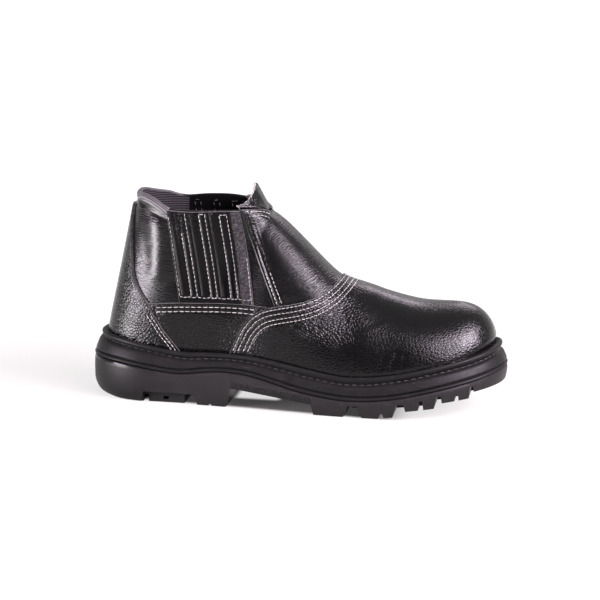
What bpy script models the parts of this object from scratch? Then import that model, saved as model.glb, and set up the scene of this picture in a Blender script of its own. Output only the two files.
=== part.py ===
"""Ankle safety boot, right foot: moulded sole, lasted upper, overlays.

Metres, +Z up.  The toe points along +X, the outer (lateral) side of the
right foot faces -Y, and the boot stands on z = 0.
"""

import math
from collections import namedtuple

import bmesh
import bpy
import numpy as np
from mathutils import Vector

for old in list(bpy.data.objects):
    bpy.data.objects.remove(old, do_unlink=True)

MM = 0.001

# ---------------------------------------------------------------- sizes
GAP = 0.30 * MM                # clearance between neighbouring pieces
SKIN_GAP = 1.00 * MM           # under the overlays, whose facets differ
VAMP_GAP = 1.20 * MM           # under the vamp, whose facets are the longest
WALL = 2.6 * MM                # leather and lining together
OVERLAY = 1.5 * MM             # leather of vamp, counter and gore covers
CUP_DEPTH = 8.0 * MM           # how far the upper stands inside the sole
INSOLE_THICK = 4.0 * MM

HEEL_X, TIP_X = -139.0 * MM, 141.0 * MM      # upper's back and toe at the welt
HEEL_ROUND, TOE_ROUND = 38.0 * MM, 62.0 * MM  # lengths of the rounded ends
HEEL_POWER, TOE_POWER = 2.15, 2.3            # how square the ends are

COLLAR_BACK_X, COLLAR_FRONT_X = -119.0 * MM, -24.0 * MM
COLLAR_HALF = 34.0 * MM
COLLAR_POWER = 2.25
TOE_CROWN_X = 112.0 * MM       # where the toe's front profile levels off

ANKLE_DIP, ANKLE_Z, ANKLE_SPREAD = 3.4 * MM, 105.0 * MM, 20.0 * MM
HEEL_SWELL, SWELL_Z, SWELL_SPREAD = 2.6 * MM, 64.0 * MM, 16.0 * MM

SHIFT = Vector((-0.6 * MM, -2.0 * MM, 0.0))  # centres the whole boot on x = y = 0

COLUMNS = 64                   # around the foot
ROWS = 15                      # from sole to top line

# ---------------------------------------------------------------- tables
# Plan outline of the upper at the welt: centre line and half widths (mm)
Plan = namedtuple("Plan", "x centre lateral medial")
PLAN = [
    Plan(-139, 0.0, 31.5, 31.5),
    Plan(-104, 0.0, 32.5, 32.0),
    Plan(-62, -0.5, 33.5, 30.5),
    Plan(-25, -1.5, 36.5, 30.5),
    Plan(15, -1.0, 43.0, 38.0),
    Plan(50, 1.0, 47.0, 45.0),
    Plan(80, 3.5, 47.0, 46.0),
    Plan(110, 5.5, 46.5, 44.5),
    Plan(141, 6.5, 45.5, 43.5),
]

# Side heights along the sole (mm): welt line, the three lines below it as
# drops from the welt, and the underside before the gaps are cut
Side = namedtuple("Side", "x welt groove band ridge tread")
SIDE = [
    Side(-151, 46.6, 4.4, 16.4, 19.8, 6.5),
    Side(-138, 45.4, 4.2, 14.2, 17.4, 2.2),
    Side(-124, 44.0, 4.0, 12.7, 16.2, 0.0),
    Side(-107, 40.8, 4.0, 12.8, 16.0, 0.0),
    Side(-91, 38.0, 4.5, 12.6, 15.8, 0.0),
    Side(-79, 37.0, 4.9, 11.9, 15.0, 0.0),
    Side(-66, 38.1, 4.4, 10.2, 13.4, 0.0),
    Side(-51, 38.4, 4.0, 9.2, 12.3, 0.0),
    Side(-30, 38.2, 4.2, 9.6, 13.0, 0.0),
    Side(-10, 35.8, 4.9, 11.6, 15.0, 0.0),
    Side(8, 32.8, 5.3, 13.2, 16.8, 0.0),
    Side(38, 27.8, 5.2, 12.6, 16.0, 0.0),
    Side(60, 28.9, 5.2, 13.3, 16.4, 0.0),
    Side(81, 32.4, 5.1, 13.5, 16.7, 1.8),
    Side(102, 37.5, 4.8, 13.3, 16.3, 6.6),
    Side(123, 43.0, 4.9, 12.8, 15.9, 12.4),
    Side(138, 48.2, 5.1, 12.8, 15.9, 17.4),
    Side(151, 53.6, 5.2, 13.0, 16.1, 22.0),
]

# Centre line of the instep, vamp and toe (mm)
Ridge = namedtuple("Ridge", "x height")
RIDGE = [
    Ridge(-24, 138.6),
    Ridge(-19, 137.0),
    Ridge(0, 118.0),
    Ridge(28, 90.2),
    Ridge(46, 85.8),
    Ridge(66, 79.2),
    Ridge(86, 74.0),
    Ridge(97, 74.2),
    Ridge(112, 74.8),
    Ridge(120, 74.8),
]

# Top line around the collar, from back (0 degrees) to the front (180)
Collar = namedtuple("Collar", "x height")
COLLAR = [
    Collar(0, 149.6),
    Collar(38, 148.4),
    Collar(52, 146.0),
    Collar(62, 141.6),
    Collar(72, 139.4),
    Collar(100, 140.2),
    Collar(130, 141.2),
    Collar(155, 140.6),
    Collar(180, 138.6),
]

# Front tab, a leather plate sewn inside the collar: half its outline (mm)
Tab = namedtuple("Tab", "x height")         # x is the distance from the middle
TAB = [
    Tab(-6, 156.2), Tab(0, 156.8), Tab(6, 154.8), Tab(14, 150.0), Tab(21, 145.4),
    Tab(27, 143.0),
]
TAB_HALF = 26.0 * MM
TAB_FOOT_Z = 132.5 * MM
TAB_CLEAR = 2.0 * MM             # the facets of collar and plate differ here
TAB_BEND_Z = 138.2 * MM        # above this the plate leans straight back
TAB_LEAN = -0.46               # backward run for each unit of height

# Section shape by column: 1 is a straight wall, 2 an ellipse, above it boxier
Shape = namedtuple("Shape", "x rise spread")
SHAPE = [
    Shape(0.0, 1.10, 1.10),
    Shape(1.0, 1.10, 1.25),
    Shape(1.25, 1.15, 1.75),
    Shape(1.5, 1.25, 2.60),
    Shape(1.75, 1.40, 3.25),
    Shape(2.0, 1.55, 3.40),
    Shape(2.25, 1.70, 2.80),
    Shape(2.5, 1.85, 2.40),
    Shape(3.0, 2.05, 2.10),
    Shape(3.5, 2.25, 2.35),
    Shape(4.0, 2.30, 2.30),
]

# Edges of the overlays, seen from the side: position at each height (mm)
Edge = namedtuple("Edge", "x at")           # x is the height here
VAMP_EDGE = [
    Edge(38.5, -44.8), Edge(48, -41.0), Edge(57.5, -36.8), Edge(65.5, -30.6),
    Edge(71, -22.8), Edge(74, -14.2), Edge(76, -1.4), Edge(78.4, 8.4),
    Edge(81.8, 17.0), Edge(86.5, 24.0), Edge(91, 29.0),
]
GORE_BACK = [Edge(77, -83.3), Edge(140, -93.8)]
GORE_FRONT = [Edge(77, -29.8), Edge(140, -42.3)]
GORE_FOOT_Z = 77.3 * MM
# Front edge of the heel counter: column of the last at each height (mm)
COUNTER_EDGE = [
    Edge(37, 1.195), Edge(50.5, 1.02), Edge(63, 0.86), Edge(71.5, 0.765),
    Edge(77.5, 0.665), Edge(89, 0.525), Edge(98, 0.468), Edge(110, 0.39),
    Edge(124, 0.28), Edge(136, 0.16), Edge(150, 0.13),
]
OVERLAY_LIFT = 1.2 * MM        # overlays end this far above the welt

# Sole's side wall: outward set of each line from the upper (mm), the drop
# line it hangs from and a small step from that line (mm)
Line = namedtuple("Line", "outset drop step")
MIDSOLE_WALL = [
    Line(2.4, "welt", 0.7),      # bead crown
    Line(4.0, "welt", -0.6),
    Line(4.6, "welt", -2.2),
    Line(4.6, "groove", 1.0),
    Line(3.6, "groove", 0.0),    # stitched groove
    Line(4.7, "groove", -1.0),
    Line(7.9, "band", 0.9),
    Line(6.9, "band", 0.0),      # groove over the thin ridge
    Line(8.4, "band", -0.7),
    Line(8.8, "ridge", 0.7),
    Line(7.2, "ridge", 0.2),
]
OUTSOLE_WALL = [
    Line(7.2, "ridge", -0.1),
    Line(8.4, "ridge", -0.8),
    Line(8.4, "tread", 9.0),
    Line(6.4, "tread", 2.6),
    Line(4.2, "tread", 0.0),
]
# Share of the outward set that is used: full at the heel, less at the sides
Share = namedtuple("Share", "x share")
SHARE = [Share(0, 1.1), Share(1, 0.74), Share(2, 0.66), Share(2.6, 0.66),
         Share(3.4, 0.80), Share(4, 0.92)]

# Gaps that part the lugs (mm): along the boot, slant of the edges, how far in
# from each side's edge of the tread, height of the gap's roof over the tread
Notch = namedtuple("Notch", "name back front slant reach roof")
NOTCHES = [
    Notch("heel_side", -107.5, -67.5, 2.0, 17.0, 8.0),
    Notch("lug_a_b", 41.7, 50.3, 1.4, 27.0, 6.8),
    Notch("lug_b_c", 75.7, 83.2, 1.4, 27.0, 7.6),
    Notch("lug_c_d", 104.0, 108.7, 1.4, 24.0, 9.0),
    Notch("lug_d_e", 127.6, 130.2, 0.8, 16.0, 9.6),
]
# Toe lugs step up one after the other: their undersides (mm)
Lug = namedtuple("Lug", "name back front low high")
LUGS = [
    Lug("c", 79.5, 106.4, 5.9, 9.2),
    Lug("d", 106.4, 129.0, 12.6, 15.8),
    Lug("e", 129.0, 160.0, 20.0, 25.2),
]
# Cross slots in the middle of the tread (mm)
Slot = namedtuple("Slot", "name at wide half_long roof")
SLOTS = [
    Slot("heel_mid", -87.0, 6.0, 15.0, 6.0),
    Slot("ball_1", 31.0, 5.0, 15.5, 5.6),
    Slot("ball_2", 60.0, 5.0, 15.5, 5.6),
    Slot("ball_3", 91.0, 5.0, 15.5, 9.0),
    Slot("toe_1", 117.0, 4.0, 13.0, 9.0),
]
# Arch: the underside rises behind the heel's front face (mm)
ARCH_BACK, ARCH_FRONT, ARCH_SLANT = -44.5, 17.8, 3.0
ARCH_ROOF_BACK, ARCH_ROOF_FRONT = 13.4, 7.8


# ---------------------------------------------------------------- curves
def curve(rows, column, blur, unit=MM, across=MM):
    """A smooth function through one column of a table."""
    x = np.array([row.x for row in rows], float) * across
    value = np.array([getattr(row, column) for row in rows], float) * unit
    span = x[-1] - x[0]
    step = span / 800.0
    grid = np.arange(x[0] - 0.3 * span, x[-1] + 0.3 * span, step)
    low = value[0] + (grid - x[0]) * (value[1] - value[0]) / (x[1] - x[0])
    high = value[-1] + (grid - x[-1]) * (value[-1] - value[-2]) / (x[-1] - x[-2])
    line = np.interp(grid, x, value)
    line = np.where(grid < x[0], low, np.where(grid > x[-1], high, line))
    reach = int(3.0 * blur * across / step) + 1
    weight = np.exp(-0.5 * (np.arange(-reach, reach + 1) * step / (blur * across)) ** 2)
    weight /= weight.sum()
    soft = np.convolve(np.pad(line, reach, mode="edge"), weight, "valid")
    return lambda q: np.interp(q, grid, soft)


centre_of = curve(PLAN, "centre", 12)
lateral_of = curve(PLAN, "lateral", 12)
medial_of = curve(PLAN, "medial", 12)
welt_of = curve(SIDE, "welt", 7)
drop_of = {name: curve(SIDE, name, 7) for name in ("groove", "band", "ridge")}
ridge_of = curve(RIDGE, "height", 6)
collar_of = curve(COLLAR, "height", 4, MM, 1.0)
rise_of = curve(SHAPE, "rise", 0.14, 1.0, 1.0)
spread_of = curve(SHAPE, "spread", 0.14, 1.0, 1.0)
share_of = curve(SHARE, "share", 0.2, 1.0, 1.0)
vamp_edge = curve(VAMP_EDGE, "at", 1.6)
counter_edge = curve(COUNTER_EDGE, "at", 2.5, 1.0)
gore_back = curve(GORE_BACK, "at", 2.0)
gore_front = curve(GORE_FRONT, "at", 2.0)
tread_raw = curve(SIDE, "tread", 2.0)


def tread_of(x):
    """Underside: dead flat under heel and ball, sprung at the toe."""
    flat = (x > -122.0 * MM) & (x < 66.0 * MM)
    return np.where(flat, 0.0, np.maximum(tread_raw(x), 0.0))


# ---------------------------------------------------------------- the last
def power(value, exponent):
    return np.maximum(value, 0.0) ** exponent


def foot_x(s):
    """Distance along the boot of column s: heel 0..1, side 1..3, toe 3..4."""
    heel_angle = np.clip(s, 0, 1) * math.pi / 2
    toe_angle = np.clip(4 - s, 0, 1) * math.pi / 2
    heel = HEEL_X + HEEL_ROUND * (1 - power(np.cos(heel_angle), 2 / HEEL_POWER))
    toe = TIP_X - TOE_ROUND * (1 - power(np.cos(toe_angle), 2 / TOE_POWER))
    side_a, side_b = HEEL_X + HEEL_ROUND, TIP_X - TOE_ROUND
    side = side_a + (side_b - side_a) * (s - 1) / 2
    return np.where(s < 1, heel, np.where(s > 3, toe, side))


def foot_end(s):
    """Share of the half width left at column s: zero at both ends."""
    heel = power(np.sin(np.clip(s, 0, 1) * math.pi / 2), 2 / HEEL_POWER)
    toe = power(np.sin(np.clip(4 - s, 0, 1) * math.pi / 2), 2 / TOE_POWER)
    return np.where(s < 1, heel, np.where(s > 3, toe, 1.0))


def half_width(side, x):
    return np.where(side < 0, lateral_of(x), medial_of(x))


def floor_of(x):
    """Top of the cup's floor, on which upper and insole stand."""
    return welt_of(x) - CUP_DEPTH


def foot_line(side, s):
    """Lower edge of the upper."""
    x = foot_x(s)
    y = centre_of(x) + side * half_width(side, x) * foot_end(s)
    return np.stack([x, y, floor_of(x) + GAP], -1)


def top_line(side, s):
    """Collar for columns 0..2, then the ridge over instep and toe."""
    q = np.clip(s / 2, 0, 1)
    angle = math.pi * (0.6 * q + 1.8 * q ** 2 - 1.4 * q ** 3)
    mid = 0.5 * (COLLAR_BACK_X + COLLAR_FRONT_X)
    half = 0.5 * (COLLAR_FRONT_X - COLLAR_BACK_X)
    turn = np.cos(angle)
    collar_x = mid - half * np.sign(turn) * power(np.abs(turn), 2 / COLLAR_POWER)
    collar_y = side * COLLAR_HALF * power(np.sin(angle), 2 / COLLAR_POWER)
    collar_y = np.where(s >= 2, 0.0, np.where(s <= 0, 0.0, collar_y))
    collar_z = collar_of(np.degrees(angle))
    r = power((s - 2) / 2, 0.65)
    r = r * r * (3 - 2 * r)
    ridge_x = COLLAR_FRONT_X + (TOE_CROWN_X - COLLAR_FRONT_X) * r
    ridge_y = centre_of(ridge_x) * np.clip((ridge_x - COLLAR_FRONT_X) / (60 * MM), 0, 1)
    front = s >= 2
    return np.stack([np.where(front, ridge_x, collar_x),
                     np.where(front, ridge_y, collar_y),
                     np.where(front, ridge_of(ridge_x), collar_z)], -1)


def outer(side, s, t):
    """Outer face of the upper: column s, t from the sole (0) to the top (1)."""
    side, s, t = np.broadcast_arrays(np.asarray(side, float), np.asarray(s, float),
                                     np.asarray(t, float))
    low, top = foot_line(side, s), top_line(side, s)
    angle = np.clip(t, 0, 1) * math.pi / 2
    up = power(np.sin(angle), 2 / rise_of(s))
    keep = power(np.cos(angle), 2 / spread_of(s))
    keep = np.where(t >= 1, 0.0, keep)
    up = np.where(t >= 1, 1.0, up)
    # height climbs with the rise, width draws in with the spread; the column
    # stays straight seen from the side, but fans out around the toe
    point = low + (top - low) * up[..., None]
    bowed = top + (low - top) * keep[..., None]
    fan = np.clip((s - 2.7) / 0.9, 0, 1)
    fan = fan * fan * (3 - 2 * fan)
    point[..., 0] += (bowed[..., 0] - point[..., 0]) * fan
    point[..., 1] = bowed[..., 1]
    z, x = point[..., 2], point[..., 0]
    along = 1 / (1 + np.exp((x + 22 * MM) / (9 * MM)))
    waist = -ANKLE_DIP * np.exp(-((z - ANKLE_Z) / ANKLE_SPREAD) ** 2)
    swell = HEEL_SWELL * np.exp(-((z - SWELL_Z) / SWELL_SPREAD) ** 2)
    aside = np.abs(point[..., 1] - np.where(s >= 2, top[..., 1], 0.0))
    edge = aside / (aside + 12 * MM)
    point[..., 1] += side * along * edge * (waist + swell)
    return point


def normal(side, s, t):
    """Outward direction of the upper's face."""
    side, s, t = np.broadcast_arrays(np.asarray(side, float), np.asarray(s, float),
                                     np.asarray(t, float))
    ds, dt = 0.004, 0.004
    sa, sb = np.clip(s - ds, 0, 4), np.clip(s + ds, 0, 4)
    ta, tb = np.clip(t - dt, 0, 0.9995), np.clip(t + dt, 0, 0.9995)
    ta = np.minimum(ta, tb - dt)
    tc = np.clip(t, 0, 0.996)
    along = outer(side, sb, tc) - outer(side, sa, tc)
    upward = outer(side, s, tb) - outer(side, s, ta)
    n = np.cross(along, upward) * (-side[..., None])
    on_middle = (s <= 0) | (s >= 4) | ((t >= 1) & (s >= 2))
    n[..., 1] = np.where(on_middle, 0.0, n[..., 1])
    length = np.linalg.norm(n, axis=-1, keepdims=True)
    n = n / np.maximum(length, 1e-12)
    # along the ridge the face looks straight up from the ridge line
    sr = np.clip(s, 2.02, 3.98)
    run = top_line(side, sr + 0.02) - top_line(side, sr - 0.02)
    crest = np.stack([-run[..., 2], 0 * run[..., 1], run[..., 0]], -1)
    crest /= np.maximum(np.linalg.norm(crest, axis=-1, keepdims=True), 1e-12)
    return np.where(((t >= 1) & (s >= 2))[..., None], crest, n)


def outset_face(side, s, t, distance):
    return outer(side, s, t) + normal(side, s, t) * distance


def t_at_height(side, s, height):
    """Row parameter at which column s reaches a height."""
    low, top = foot_line(side, s)[..., 2], top_line(side, s)[..., 2]
    share = np.clip((height - low) / (top - low), 0, 1)
    return np.arcsin(share ** (rise_of(s) / 2)) * 2 / math.pi


def column_at(side, row_of, start, stop, beyond):
    """Column where a row meets an overlay's edge, by halving the interval."""
    a, b = np.full_like(row_of, start), np.full_like(row_of, stop)
    for _ in range(40):
        middle = 0.5 * (a + b)
        low = t_at_height(side, middle, welt_of(foot_x(middle)) + OVERLAY_LIFT)
        p = outer(side, middle, low + (1 - low) * row_of)
        ahead = beyond(middle, p)
        b = np.where(ahead, middle, b)
        a = np.where(ahead, a, middle)
    return 0.5 * (a + b)


# ---------------------------------------------------------------- mesh tools
def material(name, colour, roughness):
    made = bpy.data.materials.new(name)
    made.use_nodes = True
    shader = made.node_tree.nodes["Principled BSDF"]
    shader.inputs["Base Color"].default_value = (*colour, 1.0)
    shader.inputs["Roughness"].default_value = roughness
    shader.inputs["Metallic"].default_value = 0.0
    return made


def collection(name):
    made = bpy.data.collections.new(name)
    bpy.context.scene.collection.children.link(made)
    return made


PARTS = collection("ankle_boot")
CUTTERS = collection("ankle_boot_cutters")


def sheet(name, columns, rows, place, finish, thickness=None, home=PARTS):
    """A grid moved into shape by place(u, v); seams that meet are welded.

    With a thickness the open sheet is given that wall by Solidify: positive
    grows outwards, negative inwards."""
    bm = bmesh.new()
    bmesh.ops.create_grid(bm, x_segments=columns, y_segments=rows, size=1.0)
    verts = list(bm.verts)
    u = np.array([(v.co.x + 1) / 2 for v in verts])
    v = np.array([(w.co.y + 1) / 2 for w in verts])
    spots = place(np.round(u, 6), np.round(v, 6))
    for vert, spot in zip(verts, spots):
        vert.co = Vector(spot) + SHIFT
    bmesh.ops.remove_doubles(bm, verts=bm.verts, dist=2e-6)
    bmesh.ops.dissolve_degenerate(bm, edges=bm.edges, dist=1e-7)
    if thickness is None:
        bmesh.ops.triangulate(bm, faces=bm.faces)
        bmesh.ops.recalc_face_normals(bm, faces=bm.faces)
    else:
        facing = 0.0
        for face in bm.faces:
            spot = face.calc_center_median()
            core = Vector((0.8 * spot.x - 12 * MM, 0.0, min(spot.z, 70 * MM)))
            facing += face.normal.dot((spot - core).normalized()) * face.calc_area()
        if facing < 0:
            bmesh.ops.reverse_faces(bm, faces=bm.faces)
    mesh = bpy.data.meshes.new(name)
    bm.to_mesh(mesh)
    bm.free()
    made = bpy.data.objects.new(name, mesh)
    home.objects.link(made)
    made.data.materials.append(finish)
    made.data.shade_smooth()
    made.data.set_sharp_from_angle(angle=math.radians(35))
    if thickness is not None:
        wall = made.modifiers.new("wall", "SOLIDIFY")
        wall.thickness = abs(thickness)
        wall.offset = 1.0 if thickness > 0 else -1.0
        wall.use_even_offset = False
        wall.use_rim = True
    return made


def around(u):
    """Side and column for a place around the whole foot."""
    side = np.where(u < 0.5, -1.0, 1.0)
    s = np.where(u < 0.5, 8 * u, 8 * (1 - u))
    return side, np.clip(s, 0, 4)


# ---------------------------------------------------------------- sole rings
def rim_line(side, s):
    """Upper's outer face at the welt, and the level direction out of it."""
    height = welt_of(foot_x(s))
    p = outer(side, s, t_at_height(side, s, height))
    n = normal(side, s, np.full_like(s, 0.06))
    n[..., 2] = 0
    n /= np.maximum(np.linalg.norm(n, axis=-1, keepdims=True), 1e-12)
    return p, n


def ring(side, s, outset, height):
    p, n = rim_line(side, s)
    spot = p + n * (SKIN_GAP + OVERLAY + outset * share_of(s) * MM)[..., None]
    spot[..., 2] = height
    return spot


def wall_height(line, x):
    if line.drop == "welt":
        return welt_of(x) + line.step * MM
    if line.drop == "tread":
        return tread_of(x) + line.step * MM
    return welt_of(x) - drop_of[line.drop](x) + line.step * MM


def spine(side, s, height_of):
    """Middle line on which a cap's two sides meet."""
    x = foot_x(s) * 0.9
    return np.stack([x, centre_of(x), height_of(x)], -1)


def stacked(stations):
    """place(u, v) for a closed body whose rows are the given stations."""
    def place(u, v):
        side, s = around(u)
        index = np.rint(v * (len(stations) - 1)).astype(int)
        spots = np.zeros((len(u), 3))
        for i, station in enumerate(stations):
            here = index == i
            spots[here] = station(side[here], s[here])
        return spots
    return place


def cup_floor(side, s):
    low = foot_line(side, s)
    n = normal(side, s, np.full_like(s, 0.02))
    n[..., 2] = 0
    n /= np.maximum(np.linalg.norm(n, axis=-1, keepdims=True), 1e-12)
    spot = low + n * (GAP * 1.3)
    spot[..., 2] = floor_of(foot_x(s))
    return spot


def cup_lip(side, s):
    p, n = rim_line(side, s)
    return p + n * (GAP * 1.3)


def wall_ring(line):
    return lambda side, s: ring(side, s, line.outset, wall_height(line, foot_x(s)))


LEATHER = material("black_leather", (0.020, 0.019, 0.020), 0.42)
GRAIN = material("black_grain_leather", (0.022, 0.021, 0.021), 0.38)
GATHERED = material("gathered_leather", (0.026, 0.025, 0.026), 0.5)
RUBBER = material("black_polyurethane", (0.034, 0.034, 0.036), 0.62)
SOLE_MID = material("dark_polyurethane", (0.038, 0.038, 0.040), 0.6)
TEXTILE = material("grey_textile", (0.085, 0.085, 0.090), 0.9)

# ---------------------------------------------------------------- midsole
under = lambda x: welt_of(x) - drop_of["ridge"](x) + 0.5 * MM
midsole = sheet("midsole", COLUMNS, len(MIDSOLE_WALL) + 3, stacked(
    [lambda side, s: spine(side, s, floor_of), cup_floor, cup_lip]
    + [wall_ring(line) for line in MIDSOLE_WALL]
    + [lambda side, s: spine(side, s, under)]), SOLE_MID)

# ---------------------------------------------------------------- outsole
over = lambda x: welt_of(x) - drop_of["ridge"](x) - 0.4 * MM
outsole = sheet("outsole", COLUMNS, len(OUTSOLE_WALL) + 1, stacked(
    [lambda side, s: spine(side, s, over)]
    + [wall_ring(line) for line in OUTSOLE_WALL]
    + [lambda side, s: spine(side, s, tread_of)]), RUBBER)


def block(bm, corner):
    """A box whose eight corners are moved by corner(x, y, z), each -1 or 1."""
    made = bmesh.ops.create_cube(bm, size=2.0)
    for vert in made["verts"]:
        vert.co = Vector(corner(*(round(c) for c in vert.co))) + SHIFT


def cutter(name, bm, target):
    """Keep a set of blocks as a hidden cutter and take it off the target."""
    mesh = bpy.data.meshes.new(name)
    bm.to_mesh(mesh)
    bm.free()
    made = bpy.data.objects.new(name, mesh)
    CUTTERS.objects.link(made)
    made.hide_render = True
    made.display_type = "WIRE"
    taken = target.modifiers.new(name, "BOOLEAN")
    taken.operation = "DIFFERENCE"
    taken.solver = "EXACT"
    taken.object = made


shave = bmesh.new()
profile = [(LUGS[0].back, -6.0)]
for lug in LUGS:
    profile += [(lug.back, lug.low), (lug.front, lug.high)]
profile.append((LUGS[-1].front, -6.0))
near = [shave.verts.new(Vector((x, -80, z)) * MM + SHIFT) for x, z in profile]
far = [shave.verts.new(Vector((x, 80, z)) * MM + SHIFT) for x, z in profile]
shave.faces.new(near)
shave.faces.new(far)
for i in range(len(profile)):
    shave.faces.new((near[i], near[i - 1], far[i - 1], far[i]))
bmesh.ops.recalc_face_normals(shave, faces=shave.faces)
cutter("toe_lug_steps", shave, outsole)

cut = bmesh.new()
for notch in NOTCHES:
    middle = 0.5 * (notch.back + notch.front) * MM
    roof = float(tread_of(np.array(middle))) + notch.roof * MM
    for side in (-1.0, 1.0):
        fade = 1.0
        if middle > TIP_X - TOE_ROUND:
            part = (middle - (TIP_X - TOE_ROUND)) / TOE_ROUND
            fade = (1 - part ** TOE_POWER) ** (1 / TOE_POWER)
        inner = float(centre_of(middle)) + side * (
            float(half_width(np.array(side), np.array(middle))) * fade
            + 4.0 * MM - notch.reach * MM)
        outer_y = side * 75 * MM

        def corner(i, j, k):
            x = (notch.back if i < 0 else notch.front) * MM
            x += (-i if k > 0 else i) * 0.5 * notch.slant * MM
            y = inner if j * side < 0 else outer_y
            return (x, y, roof if k > 0 else -4 * MM)
        block(cut, corner)
for slot in SLOTS:
    at = slot.at * MM
    roof = float(tread_of(np.array(at))) + slot.roof * MM
    mid_y = float(centre_of(at))

    def corner(i, j, k):
        return (at + i * 0.5 * slot.wide * MM + (0.6 * MM * i if k < 0 else 0),
                mid_y + j * slot.half_long * MM, roof if k > 0 else -4 * MM)
    block(cut, corner)


def arch(i, j, k):
    x = (ARCH_BACK if i < 0 else ARCH_FRONT) * MM
    x += (-i if k > 0 else i) * 0.5 * ARCH_SLANT * MM
    roof = (ARCH_ROOF_BACK if i < 0 else ARCH_ROOF_FRONT) * MM
    return (x, j * 80 * MM, roof if k > 0 else -4 * MM)


block(cut, arch)
bmesh.ops.recalc_face_normals(cut, faces=cut.faces)
cutter("tread_gaps", cut, outsole)

# ---------------------------------------------------------------- insole
INSET = -(WALL + 0.9 * MM)


def insole_ring(lift):
    def station(side, s):
        low = foot_line(side, s)
        n = normal(side, s, np.full_like(s, 0.02))
        n[..., 2] = 0
        n /= np.maximum(np.linalg.norm(n, axis=-1, keepdims=True), 1e-12)
        spot = low + n * INSET
        spot[..., 2] = floor_of(foot_x(s)) + lift
        return spot
    return station


insole = sheet("insole", COLUMNS, 3, stacked(
    [lambda side, s: spine(side, s, lambda x: floor_of(x) + GAP), insole_ring(GAP),
     insole_ring(GAP + INSOLE_THICK),
     lambda side, s: spine(side, s, lambda x: floor_of(x) + GAP + INSOLE_THICK)]),
    TEXTILE)


# ---------------------------------------------------------------- upper
def upper_place(u, v):
    side, s = around(u)
    return outer(side, s, v)


upper = sheet("upper", COLUMNS, ROWS, upper_place, LEATHER, -WALL)


# ---------------------------------------------------------------- overlays
def lifted(side, s, row, gap=SKIN_GAP):
    """Row 0 just over the welt, row 1 at the top line, clear of the upper."""
    low = t_at_height(side, s, welt_of(foot_x(s)) + OVERLAY_LIFT)
    return outset_face(side, s, low + (1 - low) * row, gap)


def vamp_place(u, v):
    side = np.where(u < 0.5, -1.0, 1.0)
    share = 1 - np.abs(2 * u - 1)
    start = column_at(side, v, 0.9, 3.6, lambda s, p: p[..., 0] > vamp_edge(p[..., 2]))
    return lifted(side, start + (4 - start) * share, v, VAMP_GAP)


vamp = sheet("vamp", 38, 12, vamp_place, GRAIN, SKIN_GAP + OVERLAY - VAMP_GAP)


def counter_place(u, v):
    side = np.where(u < 0.5, -1.0, 1.0)
    share = np.abs(2 * u - 1)
    row = v * 0.93
    stop = column_at(side, row, 0.0, 1.9, lambda s, p: s > counter_edge(p[..., 2]))
    return lifted(side, stop * share, row)


counter = sheet("heel_counter", 26, 10, counter_place, GRAIN, OVERLAY)


def gore_place(which):
    def place(u, v):
        side = np.full_like(u, which)
        guess = np.full_like(u, 1.2)
        for _ in range(12):
            low = t_at_height(side, guess, GORE_FOOT_Z)
            t = low + (0.975 - low) * v
            z = outer(side, guess, t)[..., 2]
            goal = gore_back(z) + (gore_front(z) - gore_back(z)) * u
            a, b = np.full_like(u, 0.2), np.full_like(u, 1.95)
            for _ in range(30):
                middle = 0.5 * (a + b)
                low = t_at_height(side, middle, GORE_FOOT_Z)
                x = outer(side, middle, low + (0.975 - low) * v)[..., 0]
                b = np.where(x > goal, middle, b)
                a = np.where(x > goal, a, middle)
            guess = 0.5 * (a + b)
        low = t_at_height(side, guess, GORE_FOOT_Z)
        return outset_face(side, guess, low + (0.975 - low) * v, SKIN_GAP)
    return place


# ---------------------------------------------------------------- front tab
tab_top = curve(TAB, "height", 1.5)


def section_x(y, z):
    """Front of the level section at height z, at distance y from the middle."""
    s = np.linspace(1.0, 3.3, 240)
    found = np.zeros_like(y)
    for i, (across, up) in enumerate(zip(y, z)):
        side = np.full_like(s, -1.0 if across < 0 else 1.0)
        p = outer(side, s, t_at_height(side, s, np.full_like(s, up)))
        reached = np.abs(p[:, 2] - up) < 0.05 * MM
        line = p[reached]
        order = np.argsort(np.abs(line[:, 1]))
        found[i] = np.interp(abs(across), np.abs(line[order, 1]), line[order, 0])
    return found


def tab_face(y, z):
    bent = np.minimum(z, TAB_BEND_Z)
    return np.stack([section_x(y, bent) + TAB_LEAN * (z - bent), y, z], -1)


def tab_place(u, v):
    y = (2 * u - 1) * TAB_HALF
    top = tab_top(np.abs(y))
    z = TAB_FOOT_Z + (top - TAB_FOOT_Z) * v
    step = 0.4 * MM
    across = tab_face(y + step, z) - tab_face(y - step, z)
    upward = tab_face(y, z + step) - tab_face(y, z - step)
    n = np.cross(across, upward)
    n /= np.linalg.norm(n, axis=-1, keepdims=True)
    return tab_face(y, z) - n * (WALL + TAB_CLEAR)


front_tab = sheet("front_tab", 12, 8, tab_place, LEATHER, -1.8 * MM)

gore_cover_lateral = sheet("gore_cover_lateral", 10, 8, gore_place(-1.0), GATHERED, OVERLAY)
gore_cover_medial = sheet("gore_cover_medial", 10, 8, gore_place(1.0), GATHERED, OVERLAY)
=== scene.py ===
"""Looks of the ankle safety boot: leather panels, seams, lining, moulded sole.

Metres, +Z up, toe along +X, lateral side of the right foot towards -Y.
"""
import math
from collections import namedtuple

import bmesh
import bpy
import numpy as np
from mathutils import Matrix, Vector


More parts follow.
